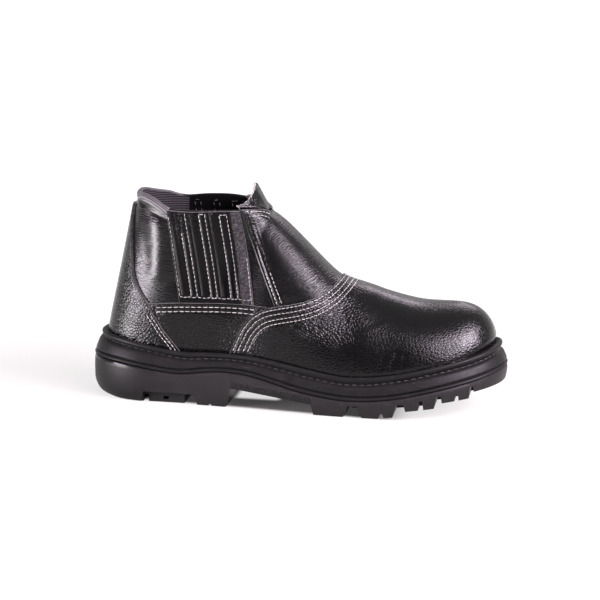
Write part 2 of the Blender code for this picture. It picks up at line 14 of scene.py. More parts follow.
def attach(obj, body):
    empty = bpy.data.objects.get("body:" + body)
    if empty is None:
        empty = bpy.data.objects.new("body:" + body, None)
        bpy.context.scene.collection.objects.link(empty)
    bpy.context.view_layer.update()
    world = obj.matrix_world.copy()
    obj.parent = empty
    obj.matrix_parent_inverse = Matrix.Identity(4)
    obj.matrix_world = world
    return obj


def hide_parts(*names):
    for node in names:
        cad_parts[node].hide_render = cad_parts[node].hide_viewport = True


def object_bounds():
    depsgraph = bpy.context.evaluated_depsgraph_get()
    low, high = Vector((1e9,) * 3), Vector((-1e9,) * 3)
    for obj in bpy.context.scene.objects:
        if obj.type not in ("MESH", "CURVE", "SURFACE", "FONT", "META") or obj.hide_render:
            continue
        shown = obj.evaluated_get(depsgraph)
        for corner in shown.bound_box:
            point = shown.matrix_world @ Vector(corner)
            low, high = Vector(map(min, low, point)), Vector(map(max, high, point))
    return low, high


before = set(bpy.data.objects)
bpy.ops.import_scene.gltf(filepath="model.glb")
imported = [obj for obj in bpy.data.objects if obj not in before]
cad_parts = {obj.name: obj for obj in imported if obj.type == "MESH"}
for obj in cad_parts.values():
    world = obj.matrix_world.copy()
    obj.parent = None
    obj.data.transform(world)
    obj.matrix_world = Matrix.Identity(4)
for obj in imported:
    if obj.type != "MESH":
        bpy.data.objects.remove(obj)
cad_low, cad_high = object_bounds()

MM = 0.001
SHIFT = np.array([-0.6, -2.0, 0.0]) * MM
GAP = 0.30 * MM
WALL = 2.6 * MM
OVERLAY_TOP = 2.5 * MM           # outer face of vamp and counter over the last
CUP_DEPTH = 8.0 * MM
BINDING, BINDING_RISE = 4.4 * MM, 1.1 * MM      # cloth folded over the collar

HEEL_X, TIP_X = -139.0 * MM, 141.0 * MM
HEEL_ROUND, TOE_ROUND = 38.0 * MM, 62.0 * MM
HEEL_POWER, TOE_POWER = 2.15, 2.3
COLLAR_BACK_X, COLLAR_FRONT_X = -119.0 * MM, -24.0 * MM
COLLAR_HALF = 34.0 * MM
COLLAR_POWER = 2.25
TOE_CROWN_X = 112.0 * MM
MEDIAL_RISE = 3.0 * MM           # the inner side of the collar is higher
ANKLE_DIP, ANKLE_Z, ANKLE_SPREAD = 1.0 * MM, 105.0 * MM, 20.0 * MM
HEEL_SWELL, SWELL_Z, SWELL_SPREAD = 1.8 * MM, 64.0 * MM, 16.0 * MM

# ------------------------------------------------------------ the last (mm)
Plan = namedtuple("Plan", "x centre lateral medial")
PLAN = [
    Plan(-139, 0.0, 31.5, 31.5), Plan(-104, 0.0, 32.5, 32.0),
    Plan(-62, -0.5, 33.5, 30.5), Plan(-25, -1.5, 36.5, 30.5),
    Plan(15, -1.0, 43.0, 38.0), Plan(50, 1.0, 47.0, 45.0),
    Plan(80, 3.5, 47.0, 46.0), Plan(110, 5.5, 46.5, 44.5),
    Plan(141, 6.5, 45.5, 43.5),
]
Side = namedtuple("Side", "x welt groove band ridge tread")
SIDE = [
    Side(-151, 46.6, 4.4, 16.4, 19.8, 6.5), Side(-138, 45.4, 4.2, 14.2, 17.4, 2.2),
    Side(-124, 44.0, 4.0, 12.7, 16.2, 0.0), Side(-107, 40.8, 4.0, 12.8, 16.0, 0.0),
    Side(-91, 38.0, 4.5, 12.6, 15.8, 0.0), Side(-79, 37.0, 4.9, 11.9, 15.0, 0.0),
    Side(-66, 38.1, 4.4, 10.2, 13.4, 0.0), Side(-51, 38.4, 4.0, 9.2, 12.3, 0.0),
    Side(-30, 38.2, 4.2, 9.6, 13.0, 0.0), Side(-10, 35.8, 4.9, 11.6, 15.0, 0.0),
    Side(8, 32.8, 5.3, 13.2, 16.8, 0.0), Side(38, 27.8, 5.2, 12.6, 16.0, 0.0),
    Side(60, 28.9, 5.2, 13.3, 16.4, 0.0), Side(81, 32.4, 5.1, 13.5, 16.7, 1.8),
    Side(102, 37.5, 4.8, 13.3, 16.3, 6.6), Side(123, 43.0, 4.9, 12.8, 15.9, 12.4),
    Side(138, 48.2, 5.1, 12.8, 15.9, 17.4), Side(151, 53.6, 5.2, 13.0, 16.1, 22.0),
]
Ridge = namedtuple("Ridge", "x height")
RIDGE = [
    Ridge(-24, 136.8), Ridge(-19, 135.4), Ridge(0, 117.6), Ridge(28, 90.2),
    Ridge(46, 85.8), Ridge(66, 79.2), Ridge(86, 74.0), Ridge(97, 74.2),
    Ridge(112, 74.8), Ridge(120, 74.8),
]
Collar = namedtuple("Collar", "x height")
COLLAR = [
    Collar(0, 149.6), Collar(38, 148.4), Collar(52, 146.0), Collar(62, 141.6),
    Collar(72, 139.4), Collar(100, 140.2), Collar(130, 141.0), Collar(155, 139.4),
    Collar(180, 136.8),
]
Shape = namedtuple("Shape", "x rise spread")
SHAPE = [
    Shape(0.0, 1.10, 1.10), Shape(1.0, 1.10, 1.25), Shape(1.25, 1.15, 1.75),
    Shape(1.5, 1.25, 2.60), Shape(1.75, 1.40, 3.25), Shape(2.0, 1.55, 3.40),
    Shape(2.25, 1.70, 2.80), Shape(2.5, 1.85, 2.40), Shape(3.0, 2.05, 2.10),
    Shape(3.5, 2.25, 2.35), Shape(4.0, 2.30, 2.30),
]
Share = namedtuple("Share", "x share")
SHARE = [Share(0, 1.1), Share(1, 0.74), Share(2, 0.66), Share(2.6, 0.66),
         Share(3.4, 0.80), Share(4, 0.92)]

# ------------------------------------------------------------ panels (mm)
# position of each edge at a height, seen from the side
Edge = namedtuple("Edge", "x at")
VAMP_EDGE = [
    Edge(38.5, -44.8), Edge(48, -41.0), Edge(57.5, -36.8), Edge(65.5, -30.6),
    Edge(71, -22.8), Edge(74, -14.2), Edge(76, -1.4), Edge(78.4, 8.4),
    Edge(81.8, 17.0), Edge(86.5, 24.0), Edge(91, 29.0),
]
COUNTER_EDGE = [              # column of the last at each height
    Edge(37, 1.195), Edge(50.5, 1.02), Edge(63, 0.86), Edge(71.5, 0.765),
    Edge(77.5, 0.665), Edge(89, 0.525), Edge(98, 0.468), Edge(110, 0.39),
    Edge(124, 0.28), Edge(136, 0.16), Edge(150, 0.13),
]
SHIELD_EDGE = [Edge(60, -6.5), Edge(74.6, -13.6), Edge(90.5, -20.9),
               Edge(105.8, -28.0), Edge(123.9, -35.4), Edge(142, -41.6)]
GORE_BACK = [Edge(70, -82.2), Edge(77, -83.4), Edge(96, -86.8), Edge(117.5, -90.2),
             Edge(133.4, -92.7), Edge(142, -94.0)]
GORE_FRONT = [Edge(70, -28.0), Edge(77.7, -29.1), Edge(104, -33.8), Edge(119.6, -37.2),
              Edge(142, -41.8)]
SIDE_TOP = [Edge(-120, 68.5), Edge(-106, 70.4), Edge(-96, 71.6), Edge(-82, 72.7),
            Edge(-67, 73.2), Edge(-53, 73.7), Edge(-38, 73.9), Edge(-22, 73.7),
            Edge(0, 73.0)]
GORE_LEAN = -0.173            # run of the pleats for each unit of height
PLEAT_FOLDS = [-79.6, -65.2, -51.2, -36.4]       # fold edges at the gore's foot
PLEAT_SEAMS = [(-74.0, -69.7), (-59.7, -55.3), (-45.3, -40.2)]
GORE_FOOT = 77.3

# Soft troughs (negative) and ridges, seen from the side
Crease = namedtuple("Crease", "side x0 z0 x1 z1 bow width depth")
CREASES = [
    Crease(0, -117, 143.6, -91, 132.0, -1.6, 1.6, -0.7),    # under the collar binding
    Crease(0, -103, 134.0, -100, 86.0, 2.5, 8.0, 2.1),      # padded quarter
    Crease(0, -90.5, 132.0, -84.5, 80.0, 0.8, 4.2, -0.9),   # pulled in at the gore
    Crease(0, -113, 126.0, -109, 84.0, 1.0, 5.0, -0.5),
    Crease(-1, -109, 100.0, -94, 106.0, -2.0, 1.8, -0.22),
    Crease(-1, -111, 93.0, -95, 97.0, -2.4, 1.6, -0.20),
    Crease(-1, -109, 112.0, -95, 119.0, -1.6, 1.8, -0.20),
    Crease(-1, 72.0, 34.0, 76.0, 47.0, 0.6, 1.5, -0.45),
    Crease(-1, 79.0, 36.0, 82.5, 46.0, 0.5, 1.4, -0.35),
    Crease(-1, 64.0, 33.0, 67.0, 43.0, 0.5, 1.4, -0.30),
    Crease(-1, 8.0, 70.0, 24.0, 55.0, 2.0, 5.5, -0.40),
    Crease(-1, 30.0, 76.0, 44.0, 50.0, 3.0, 7.0, -0.45),
    Crease(0, 52.0, 80.0, 58.0, 62.0, 2.0, 8.0, -0.35),
    Crease(-1, -20.0, 118.0, 14.0, 84.0, 2.5, 9.0, 0.30),
    Crease(1, -8.0, 112.0, 12.0, 90.0, 2.0, 6.0, -0.4),
    Crease(1, 34.0, 74.0, 46.0, 50.0, 3.0, 6.5, -0.5),
    Crease(1, 70.0, 36.0, 74.0, 48.0, 0.5, 1.6, -0.4),
]

# ------------------------------------------------------------ sole (mm)
# outward set, the line it hangs from, share of the way to the next, step
Wall = namedtuple("Wall", "outset line mix step")
MIDSOLE_WALL = (
    [Wall(2.2 + 1.9 * math.cos(math.radians(a)), "welt", None,
          -1.4 + 1.8 * math.sin(math.radians(a)))
     for a in (172, 140, 110, 82, 56, 30, 5, -20, -44)]
    + [Wall(2.4, "groove", None, 0.65), Wall(1.7, "groove", None, 0.2),
       Wall(1.8, "groove", None, -0.35), Wall(3.3, "groove", None, -0.85),
       Wall(4.6, "groove", None, -1.25)]
    + [Wall(4.9 + 3.0 * f ** 0.85, "groove", "band", f) for f in (0.2, 0.38, 0.56, 0.74, 0.88)]
    + [Wall(7.9, "band", None, 0.85), Wall(7.5, "band", None, 0.4),
       Wall(6.0, "band", None, 0.12), Wall(5.6, "band", None, -0.2),
       Wall(6.8, "band", None, -0.5), Wall(8.2, "band", None, -0.85),
       Wall(8.8, "band", "ridge", 0.5), Wall(8.8, "ridge", None, 1.0),
       Wall(8.4, "ridge", None, 0.6), Wall(7.4, "ridge", None, 0.3),
       Wall(7.0, "ridge", None, 0.2)]
)
OUTSOLE_WALL = [
    Wall(6.9, "ridge", None, -0.05), Wall(7.8, "ridge", None, -0.4),
    Wall(8.4, "ridge", None, -0.9), Wall(8.7, "ridge", None, -2.0),
    Wall(8.8, "ridge", "tread9", 0.55), Wall(8.5, "tread", None, 8.4),
    Wall(7.8, "tread", None, 5.2), Wall(6.8, "tread", None, 2.8),
    Wall(6.0, "tread", None, 1.3), Wall(5.2, "tread", None, 0.4),
    Wall(4.2, "tread", None, 0.0),
]
Notch = namedtuple("Notch", "name back front slant reach roof")
NOTCHES = [
    Notch("heel_side", -107.5, -67.5, 2.4, 0.6, 8.0),
    Notch("lug_a_b", 41.2, 50.8, 3.0, 30.0, 8.6),
    Notch("lug_b_c", 75.0, 84.2, 4.0, 30.0, 9.6),
    Notch("lug_c_d", 103.0, 109.6, 3.4, 26.0, 10.2),
    Notch("lug_d_e", 126.6, 130.8, 1.8, 18.0, 10.0),
    Notch("nick_b", 64.4, 68.6, 2.4, 12.0, 3.4),
    Notch("nick_c", 92.0, 96.4, 2.4, 12.0, 9.6),
    Notch("nick_d", 116.6, 120.8, 2.2, 11.0, 7.6),
    Notch("nick_heel", -59.0, -56.4, 0.8, 5.0, 1.6),
]
Lug = namedtuple("Lug", "name back front low high")
LUGS = [Lug("c", 79.5, 106.4, 5.9, 9.2), Lug("d", 106.4, 129.0, 12.6, 15.8),
        Lug("e", 129.0, 160.0, 20.0, 25.2)]
Slot = namedtuple("Slot", "name at wide half_long roof")
SLOTS = [
    Slot("heel_mid", -87.0, 6.0, 15.0, 6.0), Slot("ball_1", 31.0, 5.0, 15.5, 5.6),
    Slot("ball_2", 60.0, 5.0, 15.5, 5.6), Slot("ball_3", 91.0, 5.0, 15.5, 9.0),
    Slot("toe_1", 117.0, 4.0, 13.0, 9.0),
]
ARCH_BACK, ARCH_FRONT, ARCH_SLANT = -44.5, 17.8, 3.0
ARCH_ROOF_BACK, ARCH_ROOF_FRONT = 14.6, 8.0

# ------------------------------------------------------------ front tab (mm)
Tab = namedtuple("Tab", "x height")
TAB = [Tab(-6, 156.2), Tab(0, 156.8), Tab(6, 154.8), Tab(14, 150.0), Tab(21, 145.4),
       Tab(27, 143.0)]
TAB_HALF, TAB_FOOT_Z = 26.0 * MM, 132.5 * MM
TAB_CLEAR, TAB_THICK = 0.4 * MM, 1.9 * MM
TAB_BEND_Z, TAB_LEAN = 136.6 * MM, -0.58


# ------------------------------------------------------------ curves
def curve(rows, column, blur, unit=MM, across=MM):
    """A smooth function through one column of a table."""
    x = np.array([row.x for row in rows], float) * across
    value = np.array([getattr(row, column) for row in rows], float) * unit
    span = x[-1] - x[0]
    step = span / 1600.0
    grid = np.arange(x[0] - 0.3 * span, x[-1] + 0.3 * span, step)
    low = value[0] + (grid - x[0]) * (value[1] - value[0]) / (x[1] - x[0])
    high = value[-1] + (grid - x[-1]) * (value[-1] - value[-2]) / (x[-1] - x[-2])
    line = np.interp(grid, x, value)
    line = np.where(grid < x[0], low, np.where(grid > x[-1], high, line))
    reach = int(3.0 * blur * across / step) + 1
    weight = np.exp(-0.5 * (np.arange(-reach, reach + 1) * step / (blur * across)) ** 2)
    weight /= weight.sum()
    soft = np.convolve(np.pad(line, reach, mode="edge"), weight, "valid")
    return lambda q: np.interp(q, grid, soft)


centre_of = curve(PLAN, "centre", 12)
lateral_of = curve(PLAN, "lateral", 12)
medial_of = curve(PLAN, "medial", 12)
welt_of = curve(SIDE, "welt", 7)
drop_of = {name: curve(SIDE, name, 7) for name in ("groove", "band", "ridge")}
ridge_of = curve(RIDGE, "height", 6)
collar_of = curve(COLLAR, "height", 4, MM, 1.0)
rise_of = curve(SHAPE, "rise", 0.14, 1.0, 1.0)
spread_of = curve(SHAPE, "spread", 0.14, 1.0, 1.0)
share_of = curve(SHARE, "share", 0.2, 1.0, 1.0)
vamp_edge = curve(VAMP_EDGE, "at", 1.6)
counter_edge = curve(COUNTER_EDGE, "at", 2.5, 1.0)
shield_edge = curve(SHIELD_EDGE, "at", 3.0)
gore_back = curve(GORE_BACK, "at", 3.0)
gore_front = curve(GORE_FRONT, "at", 3.0)
side_top = curve(SIDE_TOP, "at", 4.0)
tread_raw = curve(SIDE, "tread", 2.0)
tab_top = curve(TAB, "height", 1.5)


def smooth(a, b, x):
    q = np.clip((x - a) / (b - a), 0, 1)
    return q * q * (3 - 2 * q)


def tread_of(x):
    flat = (x > -122.0 * MM) & (x < 66.0 * MM)
    return np.where(flat, 0.0, np.maximum(tread_raw(x), 0.0))


# ------------------------------------------------------------ the last
def power(value, exponent):
    return np.maximum(value, 0.0) ** exponent


def foot_x(s):
    heel_angle = np.clip(s, 0, 1) * math.pi / 2
    toe_angle = np.clip(4 - s, 0, 1) * math.pi / 2
    heel = HEEL_X + HEEL_ROUND * (1 - power(np.cos(heel_angle), 2 / HEEL_POWER))
    toe = TIP_X - TOE_ROUND * (1 - power(np.cos(toe_angle), 2 / TOE_POWER))
    side_a, side_b = HEEL_X + HEEL_ROUND, TIP_X - TOE_ROUND
    side = side_a + (side_b - side_a) * (s - 1) / 2
    return np.where(s < 1, heel, np.where(s > 3, toe, side))


def foot_end(s):
    heel = power(np.sin(np.clip(s, 0, 1) * math.pi / 2), 2 / HEEL_POWER)
    toe = power(np.sin(np.clip(4 - s, 0, 1) * math.pi / 2), 2 / TOE_POWER)
    return np.where(s < 1, heel, np.where(s > 3, toe, 1.0))


def half_width(side, x):
    return np.where(side < 0, lateral_of(x), medial_of(x))


def floor_of(x):
    return welt_of(x) - CUP_DEPTH


def foot_line(side, s):
    x = foot_x(s)
    y = centre_of(x) + side * half_width(side, x) * foot_end(s)
    return np.stack([x, y, floor_of(x) + GAP], -1)


def top_line(side, s):
    q = np.clip(s / 2, 0, 1)
    angle = math.pi * (0.6 * q + 1.8 * q ** 2 - 1.4 * q ** 3)
    mid = 0.5 * (COLLAR_BACK_X + COLLAR_FRONT_X)
    half = 0.5 * (COLLAR_FRONT_X - COLLAR_BACK_X)
    turn = np.cos(angle)
    collar_x = mid - half * np.sign(turn) * power(np.abs(turn), 2 / COLLAR_POWER)
    collar_y = side * COLLAR_HALF * power(np.sin(angle), 2 / COLLAR_POWER)
    collar_y = np.where(s >= 2, 0.0, np.where(s <= 0, 0.0, collar_y))
    collar_z = collar_of(np.degrees(angle))
    collar_z = collar_z + np.where(side > 0, MEDIAL_RISE * np.exp(
        -((np.degrees(angle) - 98) / 34) ** 2) - 2.4 * MM * np.exp(
        -((np.degrees(angle) - 40) / 20) ** 2), 0.0)
    r = power((s - 2) / 2, 0.65)
    r = r * r * (3 - 2 * r)
    ridge_x = COLLAR_FRONT_X + (TOE_CROWN_X - COLLAR_FRONT_X) * r
    ridge_y = centre_of(ridge_x) * np.clip((ridge_x - COLLAR_FRONT_X) / (60 * MM), 0, 1)
    front = s >= 2
    return np.stack([np.where(front, ridge_x, collar_x),
                     np.where(front, ridge_y, collar_y),
                     np.where(front, ridge_of(ridge_x), collar_z)], -1)


def arrays(side, s, t):
    return np.broadcast_arrays(np.asarray(side, float), np.asarray(s, float),
                               np.asarray(t, float))


def outer(side, s, t):
    """Outer face of the last: column s, t from the sole (0) to the top (1)."""
    side, s, t = arrays(side, s, t)
    point = plain_outer(side, s, t)
    near = (np.abs(s - 2) < 0.8) & (t < 1)
    if near.any():
        a, b, c = side[near], s[near], t[near]
        offsets = np.linspace(-0.26, 0.26, 9)
        weights = np.exp(-0.5 * (offsets / 0.12) ** 2)
        weights /= weights.sum()
        mean = sum(w * plain_outer(a, b + o, c) for o, w in zip(offsets, weights))
        share = np.exp(-((b - 2) / 0.34) ** 2) * (1 - c ** 8)
        point[near] += (mean - point[near]) * share[:, None]
    return point


def plain_outer(side, s, t):
    low, top = foot_line(side, s), top_line(side, s)
    angle = np.clip(t, 0, 1) * math.pi / 2
    up = power(np.sin(angle), 2 / rise_of(s))
    keep = power(np.cos(angle), 2 / spread_of(s))
    keep = np.where(t >= 1, 0.0, keep)
    up = np.where(t >= 1, 1.0, up)
    point = low + (top - low) * up[..., None]
    bowed = top + (low - top) * keep[..., None]
    fan = np.clip((s - 2.7) / 0.9, 0, 1)
    fan = fan * fan * (3 - 2 * fan)
    point[..., 0] += (bowed[..., 0] - point[..., 0]) * fan
    point[..., 1] = bowed[..., 1]
    z, x = point[..., 2], point[..., 0]
    along = 1 / (1 + np.exp((x + 22 * MM) / (9 * MM)))
    waist = -ANKLE_DIP * np.exp(-((z - ANKLE_Z) / ANKLE_SPREAD) ** 2)
    swell = HEEL_SWELL * np.exp(-((z - SWELL_Z) / SWELL_SPREAD) ** 2)
    aside = np.abs(point[..., 1] - np.where(s >= 2, top[..., 1], 0.0))
    edge = aside / (aside + 12 * MM)
    point[..., 1] += side * along * edge * (waist + swell)
    return point


def normal(side, s, t):
    side, s, t = arrays(side, s, t)
    ds, dt = 0.004, 0.004
    sa, sb = np.clip(s - ds, 0, 4), np.clip(s + ds, 0, 4)
    ta, tb = np.clip(t - dt, 0, 0.9995), np.clip(t + dt, 0, 0.9995)
    ta = np.minimum(ta, tb - dt)
    tc = np.clip(t, 0, 0.996)
    along = outer(side, sb, tc) - outer(side, sa, tc)
    upward = outer(side, s, tb) - outer(side, s, ta)
    n = np.cross(along, upward) * (-side[..., None])
    on_middle = (s <= 0) | (s >= 4) | ((t >= 1) & (s >= 2))
    n[..., 1] = np.where(on_middle, 0.0, n[..., 1])
    length = np.linalg.norm(n, axis=-1, keepdims=True)
    n = n / np.maximum(length, 1e-12)
    sr = np.clip(s, 2.02, 3.98)
    run = top_line(side, sr + 0.02) - top_line(side, sr - 0.02)
    crest = np.stack([-run[..., 2], 0 * run[..., 1], run[..., 0]], -1)
    crest /= np.maximum(np.linalg.norm(crest, axis=-1, keepdims=True), 1e-12)
    return np.where(((t >= 1) & (s >= 2))[..., None], crest, n)


def t_at_height(side, s, height):
    low, top = foot_line(side, s)[..., 2], top_line(side, s)[..., 2]
    share = np.clip((height - low) / (top - low), 0, 1)
    return np.arcsin(share ** (rise_of(s) / 2)) * 2 / math.pi


def locate(side, x, z, start=0.0, stop=4.0):
    """Column and row of the point of the last at x and z, seen from the side."""
    side, x, z = np.broadcast_arrays(np.asarray(side, float), np.asarray(x, float),
                                     np.asarray(z, float))
    a, b = np.full(x.shape, start), np.full(x.shape, stop)
    for _ in range(36):
        m = 0.5 * (a + b)
        ahead = outer(side, m, t_at_height(side, m, z))[..., 0] > x
        b = np.where(ahead, m, b)
        a = np.where(ahead, a, m)
    s = 0.5 * (a + b)
    return s, t_at_height(side, s, z)


def relief(side, p):
    """Height of the creases at points of the last."""
    x, z = p[..., 0] / MM, p[..., 2] / MM
    side = np.broadcast_to(side, x.shape)
    total = np.zeros(x.shape)
    for c in CREASES:
        run = np.array([c.x1 - c.x0, c.z1 - c.z0])
        length = math.hypot(*run)
        run = run / length
        q = ((x - c.x0) * run[0] + (z - c.z0) * run[1]) / length
        away = -(x - c.x0) * run[1] + (z - c.z0) * run[0]
        away = away - c.bow * 4 * q * (1 - q)
        fade = smooth(-0.06, 0.16, q) * (1 - smooth(0.84, 1.06, q))
        bump = c.depth * np.exp(-(away / c.width) ** 2) * fade
        total += np.where((c.side == 0) | (c.side == side), bump, 0.0)
    return total * MM


# ------------------------------------------------------------ mesh tools
COLLECTION = bpy.data.collections.new("ankle_boot_looks")
bpy.context.scene.collection.children.link(COLLECTION)


class Shell:
    """Collects grids of points and joins them into one mesh."""

    def __init__(self):
        self.points, self.faces, self.slots, self.count = [], [], [], 0

    def grid(self, p, slot=0, skip=None, wrap=False):
        """p is (nu, nv, 3); skip marks quads to leave out."""
        nu, nv = p.shape[:2]
        index = self.count + np.arange(nu * nv).reshape(nu, nv)
        if wrap:
            index = np.concatenate([index, index[:1]], 0)
        quads = np.stack([index[:-1, :-1], index[1:, :-1], index[1:, 1:], index[:-1, 1:]], -1)
        keep = np.ones(quads.shape[:2], bool) if skip is None else ~skip
        quads = quads[keep]
        self.points.append(p.reshape(-1, 3))
        self.faces.append(quads)
        self.slots.append(np.broadcast_to(np.asarray(slot), keep.shape)[keep])
        self.count += nu * nv

    def build(self, name, finishes, weld=2e-6, sharp=None):
        points = np.concatenate(self.points) + SHIFT
        quads = np.concatenate(self.faces)
        slots = np.concatenate(self.slots).astype(np.int32)
        mesh = bpy.data.meshes.new(name)
        mesh.vertices.add(len(points))
        mesh.vertices.foreach_set("co", points.astype(np.float32).ravel())
        mesh.loops.add(quads.size)
        mesh.loops.foreach_set("vertex_index", quads.astype(np.int32).ravel())
        mesh.polygons.add(len(quads))
        mesh.polygons.foreach_set("loop_start", np.arange(0, quads.size, 4, dtype=np.int32))
        mesh.polygons.foreach_set("material_index", slots)
        mesh.update(calc_edges=True)
        bm = bmesh.new()
        bm.from_mesh(mesh)
        bmesh.ops.remove_doubles(bm, verts=bm.verts, dist=weld)
        bmesh.ops.dissolve_degenerate(bm, edges=bm.edges, dist=1e-7)
        loose = [v for v in bm.verts if not v.link_faces]
        bmesh.ops.delete(bm, geom=loose, context="VERTS")
        bmesh.ops.recalc_face_normals(bm, faces=bm.faces)
        bm.to_mesh(mesh)
        bm.free()
        return finish_mesh(name, mesh, finishes, sharp)


def finish_mesh(name, mesh, finishes, sharp=None):
    made = bpy.data.objects.new(name, mesh)
    COLLECTION.objects.link(made)
    for finish in finishes:
        mesh.materials.append(finish)
    mesh.shade_smooth()
    if sharp:
        mesh.set_sharp_from_angle(angle=math.radians(sharp))
    return made


def spaced(length, count, near=(0.0, 0.12, 0.3, 0.55, 0.9), both=True):
    """Shares from 0 to 1 with close steps (mm) by the edges of a run (mm)."""
    head = np.array(near) / length
    tail = 1 - head[::-1] if both else np.array([1.0])
    middle = np.linspace(head[-1], tail[0], count + 1)[1:-1]
    return np.concatenate([head, middle, tail])


def arc_lengths(p, axis):
    step = np.linalg.norm(np.diff(p, axis=axis), axis=-1)
    zero = np.zeros_like(np.take(step, [0], axis=axis))
    return np.concatenate([zero, np.cumsum(step, axis=axis)], axis=axis)


def away_from(points, line):
    """Distance of each point from a line of points."""
    flat = points.reshape(-1, 3).astype(np.float32)
    line = line.astype(np.float32)
    best = np.full(len(flat), 1e9, np.float32)
    for k in range(0, len(line), 60):
        part = line[k:k + 60]
        d = ((flat[:, None, :] - part[None]) ** 2).sum(-1).min(1)
        best = np.minimum(best, d)
    return np.sqrt(best).reshape(points.shape[:-1]).astype(float)


def rounded(distance, radius):
    q = np.clip(1 - distance / radius, 0, 1)
    return np.sqrt(np.maximum(1 - q * q, 0))


def panel(name, place, us, vs, low, high, finishes, edges, radius=0.7 * MM, extra=None,
          sides=(-1.0, 1.0), seam=None, border=0.0):
    """Leather laid on the last: place(side, u, v) gives columns and rows.

    edges names the cut edges, seam(s, t) marks where both halves run on into
    each other instead of ending."""
    shell = Shell()
    u, v = np.meshgrid(us, vs, indexing="ij")
    for side in sides:
        s, t = place(side, u, v)
        base = outer(side, s, t)
        n = normal(side, s, t)
        along, up = arc_lengths(base, 0), arc_lengths(base, 1)
        d = np.full(u.shape, 1.0)
        if "u0" in edges:
            d = np.minimum(d, along)
        if "u1" in edges:
            d = np.minimum(d, along[-1:] - along)
        if "v0" in edges:
            d = np.minimum(d, up)
        if "v1" in edges:
            over = np.maximum(base[..., 0] - COLLAR_FRONT_X, 0) * 1.4
            d = np.minimum(d, np.hypot(up[:, -1:] - up, over))
        height = low + (high - low) * rounded(d, radius)
        more = relief(side, base)
        if extra is not None:
            more = more + extra(side, s, t, base)
        height = height + more * smooth(0.0, 1.2 * MM, d)
        which = np.where(d < 0.45 * MM, 1, np.where(along < border, 2, 0))
        shell.grid(base + n * height[..., None], slot=which[:-1, :-1])
        under = base + n * low
        shell.grid(under[::-1], 0)
        top = base + n * height[..., None]
        for a, b, s_edge, t_edge, key in (
                (top[0], under[0], s[0], t[0], "u0"), (top[-1], under[-1], s[-1], t[-1], "u1"),
                (top[:, 0], under[:, 0], s[:, 0], t[:, 0], "v0"),
                (top[:, -1], under[:, -1], s[:, -1], t[:, -1], "v1")):
            open_rim = np.linalg.norm(a - b, axis=-1) > 2e-6
            joined = np.zeros(len(a), bool) if seam is None else seam(s_edge, t_edge)
            skip = ~(open_rim[:-1] | open_rim[1:]) | (joined[:-1] & joined[1:])
            if (~skip).any():
                shell.grid(np.stack([a, b], 1), 1, skip[:, None])
    return shell.build(name, finishes, sharp=60)


